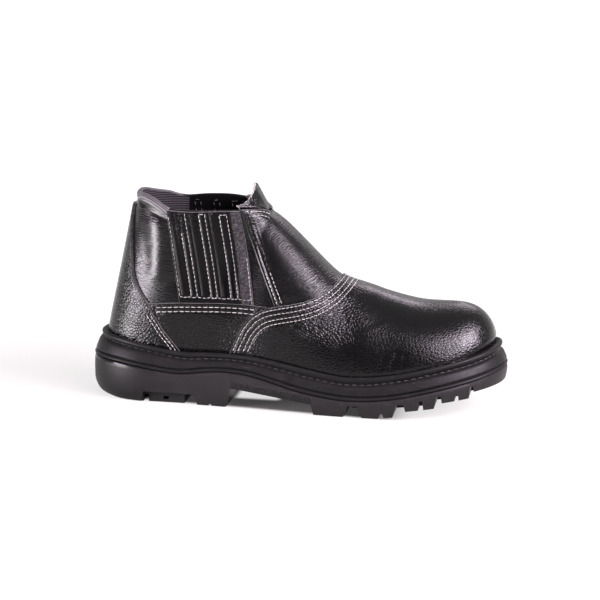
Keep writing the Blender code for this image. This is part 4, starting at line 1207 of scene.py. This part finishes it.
gore_parts = {}
for which, label in ((-1.0, "lateral"), (1.0, "medial")):
    made = panel("gore_cover_" + label + "_pleats", gore_place, spaced(56, 220),
                 np.concatenate([np.linspace(0, 0.985, 84), [0.991, 0.996, 1.0]]),
                 0.08 * MM, 1.15 * MM, [GATHER, EDGE], ("u0", "u1", "v1"), radius=0.55 * MM,
                 extra=pleats, sides=(which,))
    keep_piece(made, "gore_cover", "gore_cover_" + label)


# ------------------------------------------------------------ seams
def stitches(name, seams, finish, wide=0.46, tall=0.44):
    """Every stitch is a plump strand whose ends dive into the leather."""
    random = np.random.default_rng(7)
    stations = np.array([0.0, 0.1, 0.28, 0.5, 0.72, 0.9, 1.0])
    girth = np.array([0.40, 0.85, 1.0, 1.0, 1.0, 0.85, 0.40])
    sink = np.array([-0.40, 0.10, 0.26, 0.30, 0.26, 0.10, -0.40])
    ring = np.linspace(0, 2 * math.pi, 8, endpoint=False)
    points, quads, count = [], [], 0
    for seam in seams:
        base = outer(seam.side, seam.s, seam.t)
        n = normal(seam.side, seam.s, seam.t)
        extra = relief(np.full(len(base), seam.side), base)
        if callable(seam.lift):
            height = seam.lift(seam.side, seam.s, seam.t, base)
        else:
            height = seam.lift
        p = base + n * (height + extra)[:, None]
        length = np.concatenate([[0], np.cumsum(np.linalg.norm(np.diff(p, axis=0), axis=-1))])
        pitch = (seam.long + seam.gap) * MM
        number = max(1, int(round(length[-1] / pitch)))
        pitch = length[-1] / number
        long = min(seam.long * MM, pitch * 0.84)
        for k in range(number):
            begin = (k + 0.5) * pitch - 0.5 * long + random.normal(0, 0.06) * MM
            at = begin + stations * long
            spine = np.stack([np.interp(at, length, p[:, i]) for i in range(3)], -1)
            up = np.stack([np.interp(at, length, n[:, i]) for i in range(3)], -1)
            up /= np.linalg.norm(up, axis=-1, keepdims=True)
            run = np.gradient(spine, axis=0)
            run /= np.maximum(np.linalg.norm(run, axis=-1, keepdims=True), 1e-9)
            across = np.cross(up, run)
            slant = random.normal(0, 0.05)
            spine = spine + up * (sink * MM)[:, None]
            spine = spine + across * ((stations - 0.5) * slant * long)[:, None]
            g = girth * (1 + random.normal(0, 0.04))
            body = (spine[:, None] + across[:, None] * (np.cos(ring)[None, :, None]
                    * (0.5 * wide * MM * g)[:, None, None])
                    + up[:, None] * (np.sin(ring)[None, :, None]
                    * (0.5 * tall * MM * g)[:, None, None]))
            points.append(body.reshape(-1, 3))
            index = count + np.arange(len(stations) * 8).reshape(len(stations), 8)
            nxt = np.roll(index, -1, 1)
            quads.append(np.stack([index[:-1], nxt[:-1], nxt[1:], index[1:]], -1).reshape(-1, 4))
            for row, flip in ((index[0], True), (index[-1], False)):
                cap = np.array([[row[0], row[1], row[2], row[3]], [row[0], row[3], row[4], row[7]],
                                [row[4], row[5], row[6], row[7]]])
                quads.append(cap[:, ::-1] if flip else cap)
            count += len(stations) * 8
    shell = Shell()
    shell.points, shell.faces = points, quads
    shell.slots = [np.zeros(len(q), int) for q in quads]
    return shell.build(name, [finish], weld=1e-9)


def gore_lift(side, s, t, base):
    return 1.15 * MM + pleats(side, s, t, base)


inner = []
for side in (-1.0, 1.0):
    for k, (a, b) in enumerate(PLEAT_SEAMS):
        for w, low in ((a, 118.0), (b, 122.0)):
            s, t = drawn_line(side, [(lean_x(w, 137.5), 137.5), (lean_x(w, low), low)], 40)
            inner.append(Seam(side, s, t, -WALL - 0.55 * MM, "inner", 2.4, 2.2))
        s, t = drawn_line(side, [(lean_x(a, 137.5), 137.5), (lean_x(b, 137.9), 137.9)], 20)
        inner.append(Seam(side, s, t, -WALL - 0.55 * MM, "inner", 2.6, 0.7))
    s, t = drawn_line(side, [(-47.0, 138.2), (-42.0, 134.5), (-36.5, 132.5)], 30)
    inner.append(Seam(side, s, t, -WALL - 0.55 * MM, "inner", 2.6, 0.7))

pale, dark, gore_pale = [], [], []
for seam in SEAMS:
    if seam.lift == 1.25 * MM:
        gore_pale.append(seam._replace(lift=gore_lift))
    elif seam.thread == "pale":
        pale.append(seam)
    else:
        dark.append(seam)
keep_piece(stitches("panel_stitches", pale, THREAD), "grain_overlay")
keep_piece(stitches("gore_stitches", gore_pale, THREAD, 0.38, 0.40), "gore_cover")
keep_piece(stitches("shield_stitches", dark, DARK_THREAD), "upper")
keep_piece(stitches("lining_stitches", inner, LINING_THREAD, 0.5, 0.5), "upper")


# ------------------------------------------------------------ front tab
def level_sections():
    heights = np.linspace(TAB_FOOT_Z - 1 * MM, TAB_BEND_Z + 1 * MM, 12)
    across = np.linspace(0, 30 * MM, 90)
    table = np.zeros((2, len(heights), len(across)))
    s = np.linspace(1.0, 3.3, 500)
    for i, side in enumerate((-1.0, 1.0)):
        for j, z in enumerate(heights):
            t = t_at_height(side, s, np.full_like(s, z))
            p = outer(side, s, t)
            line = p[np.abs(p[:, 2] - z) < 0.05 * MM]
            order = np.argsort(np.abs(line[:, 1]))
            table[i, j] = np.interp(across, np.abs(line[order, 1]), line[order, 0])
    return heights, across, table


HEIGHTS, ACROSS, SECTIONS = level_sections()


def section_x(y, z):
    which = (y >= 0).astype(int)
    fz = np.clip((z - HEIGHTS[0]) / (HEIGHTS[1] - HEIGHTS[0]), 0, len(HEIGHTS) - 1.001)
    fy = np.clip(np.abs(y) / (ACROSS[1] - ACROSS[0]), 0, len(ACROSS) - 1.001)
    iz, iy = fz.astype(int), fy.astype(int)
    az, ay = fz - iz, fy - iy
    return ((1 - az) * ((1 - ay) * SECTIONS[which, iz, iy] + ay * SECTIONS[which, iz, iy + 1])
            + az * ((1 - ay) * SECTIONS[which, iz + 1, iy] + ay * SECTIONS[which, iz + 1, iy + 1]))


def tab_face(y, z):
    bent = np.minimum(z, TAB_BEND_Z)
    lean = TAB_LEAN * (z - bent)
    lean = lean - 4.0 * MM * smooth(4 * MM, 20 * MM, np.abs(y)) * smooth(138 * MM, 146 * MM, z)
    return np.stack([section_x(y, bent) + lean, y, z], -1)


def build_tab():
    y1 = np.linspace(-1, 1, 73) * TAB_HALF
    v1 = np.concatenate([np.linspace(0, 0.95, 36), [0.975, 0.99, 1.0]])
    y, v = np.meshgrid(y1, v1, indexing="ij")
    ragged = 0.22 * MM * np.sin(2.1 * y / MM) + 0.18 * MM * np.sin(5.3 * y / MM + 1.0)
    top = tab_top(np.abs(y)) + ragged * v
    z = TAB_FOOT_Z + (top - TAB_FOOT_Z) * v
    step = 0.6 * MM
    n = np.cross(tab_face(y + step, z) - tab_face(y - step, z),
                 tab_face(y, z + step) - tab_face(y, z - step))
    n /= np.linalg.norm(n, axis=-1, keepdims=True)
    if n[36, 20, 0] < 0:
        n = -n
    wrinkle = 0.07 * MM * np.sin(0.9 * y / MM + 0.35 * z / MM) * smooth(0.25, 0.6, v)
    wrinkle += 0.05 * MM * np.sin(1.9 * z / MM - 0.7 * y / MM) * smooth(0.25, 0.6, v)
    rim = 137.0 * MM + 3.8 * MM * smooth(4 * MM, 24 * MM, np.abs(y))
    inset = (WALL + TAB_CLEAR + 1.1 * MM) * (1 - smooth(-0.4 * MM, 1.5 * MM, z - rim)) - 0.9 * MM
    face = tab_face(y, z) - n * inset[..., None] + n * wrinkle[..., None]
    back = face - n * TAB_THICK
    shell = Shell()
    shell.grid(face, 0)
    shell.grid(back[::-1], 1)
    for a, b in ((face[0], back[0]), (face[-1], back[-1]), (face[:, 0], back[:, 0]),
                 (face[:, -1], back[:, -1])):
        mid = 0.5 * (a + b)
        shell.grid(np.stack([a, mid, b], 1), 2)
    return shell.build("front_tab_leather", [GRAIN, SUEDE, PALE_EDGE], sharp=50)


keep_piece(build_tab(), "upper", "front_tab")


# ------------------------------------------------------------ sole
def rim_line(side, s):
    height = welt_of(foot_x(s))
    p = outer(side, s, t_at_height(side, s, height))
    n = normal(side, s, np.full_like(s, 0.06))
    n[..., 2] = 0
    n /= np.maximum(np.linalg.norm(n, axis=-1, keepdims=True), 1e-12)
    return p, n


def ring(side, s, outset, height):
    p, n = rim_line(side, s)
    spot = p + n * (OVERLAY_TOP + outset * share_of(s) * MM)[..., None]
    spot[..., 2] = height
    return spot


def line_height(name, x):
    if name == "welt":
        return welt_of(x)
    if name == "tread":
        return tread_of(x)
    if name == "tread9":
        return tread_of(x) + 9 * MM
    return welt_of(x) - drop_of[name](x)


def wall_height(wall, x):
    height = line_height(wall.line, x)
    if wall.mix is None:
        return height + wall.step * MM
    lower = line_height(wall.mix, x) + (1.0 * MM if wall.mix == "band" else 0.0)
    upper = height - (1.3 * MM if wall.line == "groove" else 0.8 * MM)
    return upper + (lower - upper) * wall.step


def spine(s, height_of):
    x = foot_x(s) * 0.9
    return np.stack([x, centre_of(x), height_of(x)], -1)


def wall_rings(walls, side, s):
    x = foot_x(s)
    return [ring(side, s, w.outset, wall_height(w, x)) for w in walls]


def cap(edge, s, height_of, rows=6):
    """Rings from an edge to the middle line, for a flat face."""
    middle = spine(s, height_of)
    out = []
    for q in np.linspace(0, 1, rows + 1)[1:]:
        spot = edge + (middle - edge) * q
        out.append(spot)
    return out


def build_midsole():
    u = np.linspace(0, 1, 401)
    side, s = around(u)
    p, n = rim_line(side, s)
    x = foot_x(s)
    lip = p + n * (OVERLAY_TOP + 0.15 * MM)
    deep = lip.copy()
    lip[..., 2] = welt_of(x) + 0.15 * MM
    deep[..., 2] = welt_of(x) - 4.5 * MM
    floor = foot_line(side, s)
    floor[..., 2] = floor_of(x)
    walls = wall_rings(MIDSOLE_WALL, side, s)
    under = lambda q: welt_of(q) - drop_of["ridge"](q) + 0.5 * MM
    rings = (cap(floor, s, floor_of)[::-1] + [floor, deep, lip] + walls
             + cap(walls[-1], s, under))
    shell = Shell()
    shell.grid(np.stack(rings, 1))
    return shell.build("midsole_cup", [MIDSOLE_SKIN])


keep_piece(build_midsole(), "midsole", "midsole")


def cut_block(bm, corner):
    made = bmesh.ops.create_cube(bm, size=2.0)
    for vert in made["verts"]:
        vert.co = Vector(corner(*(round(c) for c in vert.co))) + Vector(SHIFT)


def take_off(bm, target, name):
    bmesh.ops.recalc_face_normals(bm, faces=bm.faces)
    mesh = bpy.data.meshes.new(name)
    bm.to_mesh(mesh)
    bm.free()
    tool = bpy.data.objects.new(name, mesh)
    bpy.context.scene.collection.objects.link(tool)
    taken = target.modifiers.new(name, "BOOLEAN")
    taken.operation, taken.solver, taken.object = "DIFFERENCE", "EXACT", tool
    bpy.context.view_layer.update()
    cut = bpy.data.meshes.new_from_object(
        target.evaluated_get(bpy.context.evaluated_depsgraph_get()))
    target.modifiers.clear()
    old = target.data
    target.data = cut
    bpy.data.meshes.remove(old)
    bpy.data.objects.remove(tool, do_unlink=True)


def build_outsole():
    u = np.linspace(0, 1, 241)
    side, s = around(u)
    walls = wall_rings(OUTSOLE_WALL, side, s)
    over = lambda q: welt_of(q) - drop_of["ridge"](q) - 0.35 * MM
    rings = (cap(walls[0], s, over, 3)[::-1] + walls + cap(walls[-1], s, tread_of, 3))
    shell = Shell()
    shell.grid(np.stack(rings, 1))
    made = shell.build("outsole_tread", [OUTSOLE_SKIN])

    bm = bmesh.new()
    profile = [(LUGS[0].back, -6.0)]
    for lug in LUGS:
        profile += [(lug.back, lug.low), (lug.front, lug.high)]
    profile.append((LUGS[-1].front, -6.0))
    move = Vector(SHIFT)
    near = [bm.verts.new(Vector((x, -80, z)) * MM + move) for x, z in profile]
    far = [bm.verts.new(Vector((x, 80, z)) * MM + move) for x, z in profile]
    bm.faces.new(near)
    bm.faces.new(far)
    for i in range(len(profile)):
        bm.faces.new((near[i], near[i - 1], far[i - 1], far[i]))
    take_off(bm, made, "toe_lug_steps")

    def notch_block(bm, notch):
        middle = 0.5 * (notch.back + notch.front) * MM
        roof = float(tread_of(np.array(middle))) + notch.roof * MM
        for way in (-1.0, 1.0):
            fade = 1.0
            if middle > TIP_X - TOE_ROUND:
                part = (middle - (TIP_X - TOE_ROUND)) / TOE_ROUND
                fade = (1 - part ** TOE_POWER) ** (1 / TOE_POWER)
            inner = float(centre_of(middle)) + way * (
                float(half_width(np.array(way), np.array(middle))) * fade
                + 4.0 * MM - notch.reach * MM)

            def corner(i, j, k):
                x = (notch.back if i < 0 else notch.front) * MM
                x += (-i if k > 0 else i) * 0.5 * notch.slant * MM
                y = inner if j * way < 0 else way * 75 * MM
                return (x, y, roof if k > 0 else -4 * MM)
            cut_block(bm, corner)

    bm = bmesh.new()
    for notch in NOTCHES:
        notch_block(bm, notch)
    for slot in SLOTS:
        at = slot.at * MM
        roof = float(tread_of(np.array(at))) + slot.roof * MM
        mid_y = float(centre_of(at))

        def corner(i, j, k):
            return (at + i * 0.5 * slot.wide * MM + (0.6 * MM * i if k < 0 else 0),
                    mid_y + j * slot.half_long * MM, roof if k > 0 else -4 * MM)
        cut_block(bm, corner)

    def arch(i, j, k):
        x = (ARCH_BACK if i < 0 else ARCH_FRONT) * MM
        x += (-i if k > 0 else i) * 0.5 * ARCH_SLANT * MM
        roof = (ARCH_ROOF_BACK if i < 0 else ARCH_ROOF_FRONT) * MM
        return (x, j * 80 * MM, roof if k > 0 else -4 * MM)
    cut_block(bm, arch)
    take_off(bm, made, "tread_gaps")

    bm = bmesh.new()
    for x, way, radius in ((-43.6, -1, 4.2), (-68.6, 1, 2.4), (16.4, 1, 1.6), (40.0, -1, 1.4),
                           (52.2, 1, 1.6), (73.4, -1, 1.2)):
        arc = [(x + way * radius * (1 - math.cos(a)), radius * (1 - math.sin(a)))
               for a in np.linspace(0, math.pi / 2, 7)]
        outline = [(x - way * 2.0, -2.0), (x - way * 2.0, radius)] + arc + [(x + way * radius, -2.0)]
        near = [bm.verts.new(Vector((px, -80, pz)) * MM + move) for px, pz in outline]
        far = [bm.verts.new(Vector((px, 80, pz)) * MM + move) for px, pz in outline]
        bm.faces.new(near)
        bm.faces.new(far)
        for i in range(len(outline)):
            bm.faces.new((near[i], near[i - 1], far[i - 1], far[i]))
    take_off(bm, made, "lug_corners")

    # heel: cuts from both sides that leave the middle whole: a recess in front of its middle lug, a nick
    # in that lug and a gap behind it
    bm = bmesh.new()
    for back, front, low, high, inner in ((-76.8, -68.0, -4.0, 6.4, 9.0),
                                          (-92.2, -88.4, 2.2, 4.4, 26.0),
                                          (-106.6, -102.8, -4.0, 5.2, 24.0)):
        for way in (-1.0, 1.0):
            def corner(i, j, k):
                return ((back if i < 0 else front) * MM,
                        way * (inner if j * way < 0 else 80.0) * MM, (high if k > 0 else low) * MM)
            cut_block(bm, corner)
    take_off(bm, made, "heel_gaps")
    made.data.shade_smooth()
    made.data.set_sharp_from_angle(angle=math.radians(32))
    return made


keep_piece(build_outsole(), "outsole", "outsole")


def groove_stitches():
    """Short dark stitches sunk in the groove under the welt."""
    random = np.random.default_rng(3)
    u = np.linspace(0, 1, 2400)
    side, s = around(u)
    x = foot_x(s)
    line = ring(side, s, np.full_like(s, 2.35), welt_of(x) - drop_of["groove"](x) + 0.05 * MM)
    _, n = rim_line(side, s)
    length = np.concatenate([[0], np.cumsum(np.linalg.norm(np.diff(line, axis=0), axis=-1))])
    stations = np.array([0.0, 0.15, 0.5, 0.85, 1.0])
    girth = np.array([0.35, 0.85, 1.0, 0.85, 0.35])
    turn = np.linspace(0, 2 * math.pi, 6, endpoint=False)
    shell, count = Shell(), 0
    number = int(length[-1] / (5.2 * MM))
    pitch = length[-1] / number
    for k in range(number):
        at = (k + 0.18) * pitch + stations * pitch * 0.66 + random.normal(0, 0.1) * MM
        at = np.clip(at, 0, length[-1])
        p = np.stack([np.interp(at, length, line[:, i]) for i in range(3)], -1)
        out = np.stack([np.interp(at, length, n[:, i]) for i in range(3)], -1)
        up = np.array([0.0, 0.0, 1.0])
        dip = np.array([-0.5, 0.0, 0.12, 0.0, -0.5]) * MM
        body = (p + out * dip[:, None])[:, None] + (
            out[:, None] * np.cos(turn)[None, :, None] + up * np.sin(turn)[None, :, None]
        ) * (0.36 * MM * girth)[:, None, None]
        shell.points.append(body.reshape(-1, 3))
        index = count + np.arange(30).reshape(5, 6)
        nxt = np.roll(index, -1, 1)
        quads = [np.stack([index[:-1], nxt[:-1], nxt[1:], index[1:]], -1).reshape(-1, 4)]
        for row in (index[0], index[-1]):
            quads.append(np.array([[row[0], row[1], row[2], row[3]],
                                   [row[0], row[3], row[4], row[5]]]))
        quads = np.concatenate(quads)
        shell.faces.append(quads)
        shell.slots.append(np.zeros(len(quads), int))
        count += 30
    return shell.build("welt_stitches", [DARK_THREAD], weld=1e-9)


keep_piece(groove_stitches(), "midsole")


# ------------------------------------------------------------ insole
def build_insole():
    u = np.linspace(0, 1, 201)
    side, s = around(u)
    low = foot_line(side, s)
    n = normal(side, s, np.full_like(s, 0.02))
    n[..., 2] = 0
    n /= np.maximum(np.linalg.norm(n, axis=-1, keepdims=True), 1e-12)
    edge = low - n * (WALL + 0.7 * MM)
    x = foot_x(s)

    def at(inset, lift):
        spot = edge - n * inset * MM
        spot[..., 2] = floor_of(x) + GAP + lift * MM
        return spot
    under = lambda q: floor_of(q) + GAP
    dish = lambda q: floor_of(q) + GAP + 3.6 * MM
    walls = [at(0.0, 0.0), at(0.0, 2.6), at(0.15, 3.6), at(0.6, 4.2), at(1.3, 4.4),
             at(3.0, 4.3), at(6.0, 4.0)]
    rings = cap(walls[0], s, under, 2)[::-1] + walls + cap(walls[-1], s, dish, 8)
    shell = Shell()
    shell.grid(np.stack(rings, 1))
    return shell.build("insole_footbed", [LINING])


keep_piece(build_insole(), "insole", "insole")

# ------------------------------------------------------------ join the frame
for made, slot, nodes in PIECES:
    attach(made, "root")
    if nodes:
        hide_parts(*nodes)


# ------------------------------------------------------------ floor and light
def build_floor():
    bm = bmesh.new()
    bmesh.ops.create_grid(bm, x_segments=2, y_segments=2, size=14.0)
    mesh = bpy.data.meshes.new("floor")
    bm.to_mesh(mesh)
    bm.free()
    made = bpy.data.objects.new("floor", mesh)
    bpy.context.scene.collection.objects.link(made)
    made.location = (0, 0, float(cad_low.z) - 0.0002)
    f = Finish("pale_floor")
    f.set(Base_Color=(0.17, 0.165, 0.162), Roughness=0.9, Specular_IOR_Level=0.0)
    # The floor glows, which is painted light: lower close to the boot, full further out.
    f.set(Emission_Color=(1.0, 0.985, 0.98), Emission_Strength=1.0)
    far = f.add("ShaderNodeVectorMath", operation="LENGTH")
    f.put(far.inputs[0], f.spot)
    glow = f.span(far.outputs["Value"], 0.22, 0.50, 0.73, 1.0)
    # A painted pool of light: a strip of strong glow on the floor to the front left of the boot, which
    # lights the heel and quarter.
    x, y = f.axis("X"), f.axis("Y")
    along = f.math("ADD", f.math("MULTIPLY", x, -0.82), f.math("MULTIPLY", y, -0.57))
    across = f.math("ABSOLUTE", f.math("ADD", f.math("MULTIPLY_ADD", x, 0.57, 0.057),
                                       f.math("MULTIPLY", y, -0.82)))
    path = f.math("MULTIPLY", f.span(along, 0.26, 0.42), f.span(along, 1.5, 1.9, 1.0, 0.0))
    path = f.math("MULTIPLY", path, f.span(across, 0.04, 0.21, 1.0, 0.0))
    glow = f.math("MULTIPLY_ADD", path, 31.0, glow)
    # Painted shadow: the glow drops to 7% under the boot, except for a bright window seen through the
    # arch.
    near = f.span(f.math("MULTIPLY_ADD", x, 0.11, y), -0.048, -0.040)
    gap = f.math("MULTIPLY", f.span(x, -0.047, -0.042), f.span(x, -0.016, -0.010, 1.0, 0.0))
    gap = f.math("MULTIPLY", gap, f.span(y, -0.016, -0.006))
    under = f.math("MULTIPLY", near, f.math("SUBTRACT", f.span(y, 0.026, 0.036, 1.0, 0.0), gap))
    under = f.math("MAXIMUM", under, 0.0)
    under = f.math("MULTIPLY", under, f.math("MULTIPLY", f.span(x, -0.128, -0.108),
                                             f.span(x, 0.055, 0.088, 1.0, 0.0)))
    glow = f.math("MULTIPLY", glow, f.math("MULTIPLY_ADD", under, -0.93, 1.0))
    f.put(f.shader.inputs["Emission Strength"], glow)
    mesh.materials.append(f.made)
    return made


build_floor()


def softbox(name, aim, toward, distance, size, power, tint=(1.0, 0.87, 1.0)):
    data = bpy.data.lights.new(name, "AREA")
    data.shape, data.size, data.size_y = "RECTANGLE", size[0], size[1]
    data.energy, data.color = power, tint
    made = bpy.data.objects.new(name, data)
    bpy.context.scene.collection.objects.link(made)
    way = Vector(toward).normalized()
    made.location = Vector(aim) + way * distance
    made.rotation_mode = "QUATERNION"
    made.rotation_quaternion = way.to_track_quat("Z", "Y")
    return made


softbox("box_right", (0.05, 0, 0.06), (0.703, -0.439, 0.559), 1.6, (1.80, 1.05), 74)
softbox("box_right_core", (0.06, 0, 0.06), (0.775, -0.345, 0.520), 1.5, (0.66, 0.52), 30)
softbox("box_left", (-0.10, 0, 0.07), (-0.816, -0.551, 0.118), 1.5, (0.78, 0.47), 40)
softbox("box_back", (0.10, 0, 0.07), (0.14, 0.85, 0.58), 1.7, (0.60, 0.40), 3.4)

world = bpy.data.worlds.new("studio")
bpy.context.scene.world = world
world.use_nodes = True
tree = world.node_tree
back_light = tree.nodes["Background"]
spot = tree.nodes.new("ShaderNodeTexCoord")
parts = tree.nodes.new("ShaderNodeSeparateXYZ")
tree.links.new(spot.outputs["Generated"], parts.inputs[0])
high = tree.nodes.new("ShaderNodeMapRange")
high.interpolation_type = "SMOOTHSTEP"
high.inputs["From Min"].default_value, high.inputs["From Max"].default_value = 0.10, 0.85
high.inputs["To Min"].default_value, high.inputs["To Max"].default_value = 0.03, 0.55
tree.links.new(parts.outputs["Z"], high.inputs["Value"])
behind = tree.nodes.new("ShaderNodeMapRange")
behind.interpolation_type = "SMOOTHSTEP"
behind.inputs["From Min"].default_value, behind.inputs["From Max"].default_value = -0.1, 0.9
behind.inputs["To Min"].default_value, behind.inputs["To Max"].default_value = 0.0, 0.7
tree.links.new(parts.outputs["Y"], behind.inputs["Value"])
total = tree.nodes.new("ShaderNodeMath")
total.operation = "MAXIMUM"
tree.links.new(high.outputs["Result"], total.inputs[0])
tree.links.new(behind.outputs["Result"], total.inputs[1])
tree.links.new(total.outputs[0], back_light.inputs["Strength"])
back_light.inputs["Color"].default_value = (1.0, 0.985, 0.985, 1.0)

bpy.context.scene.view_settings.view_transform = "Standard"
bpy.context.scene.view_settings.look = "None"

# ------------------------------------------------------------ camera
YAW, ELEVATION, ROLL = math.radians(7.5), math.radians(11.0), math.radians(1.666)
DISTANCE, PX_PER_M = 1.9, 1383.6
CENTRE_X, CENTRE_Y = 300.29, 296.99
back = Vector((math.sin(YAW) * math.cos(ELEVATION), -math.cos(YAW) * math.cos(ELEVATION),
               math.sin(ELEVATION)))
right = Vector((math.cos(YAW), math.sin(YAW), 0.0))
up = back.cross(right)
right_r = right * math.cos(ROLL) + up * math.sin(ROLL)
up_r = -right * math.sin(ROLL) + up * math.cos(ROLL)
aim = Vector((0.0, 0.0, 0.075)) + Vector(SHIFT)
aim += right_r * ((300 - CENTRE_X) / PX_PER_M) + up_r * (-(300 - CENTRE_Y) / PX_PER_M)
lens = bpy.data.cameras.new("camera")
lens.sensor_fit = "AUTO"
lens.sensor_width = 36.0
lens.lens = 36.0 * PX_PER_M * DISTANCE / 600.0
lens.clip_start, lens.clip_end = 0.05, 60.0
camera = bpy.data.objects.new("camera", lens)
bpy.context.scene.collection.objects.link(camera)
turn = Matrix((right_r, up_r, back)).transposed().to_4x4()
camera.matrix_world = Matrix.Translation(aim + back * DISTANCE) @ turn
bpy.context.scene.camera = camera
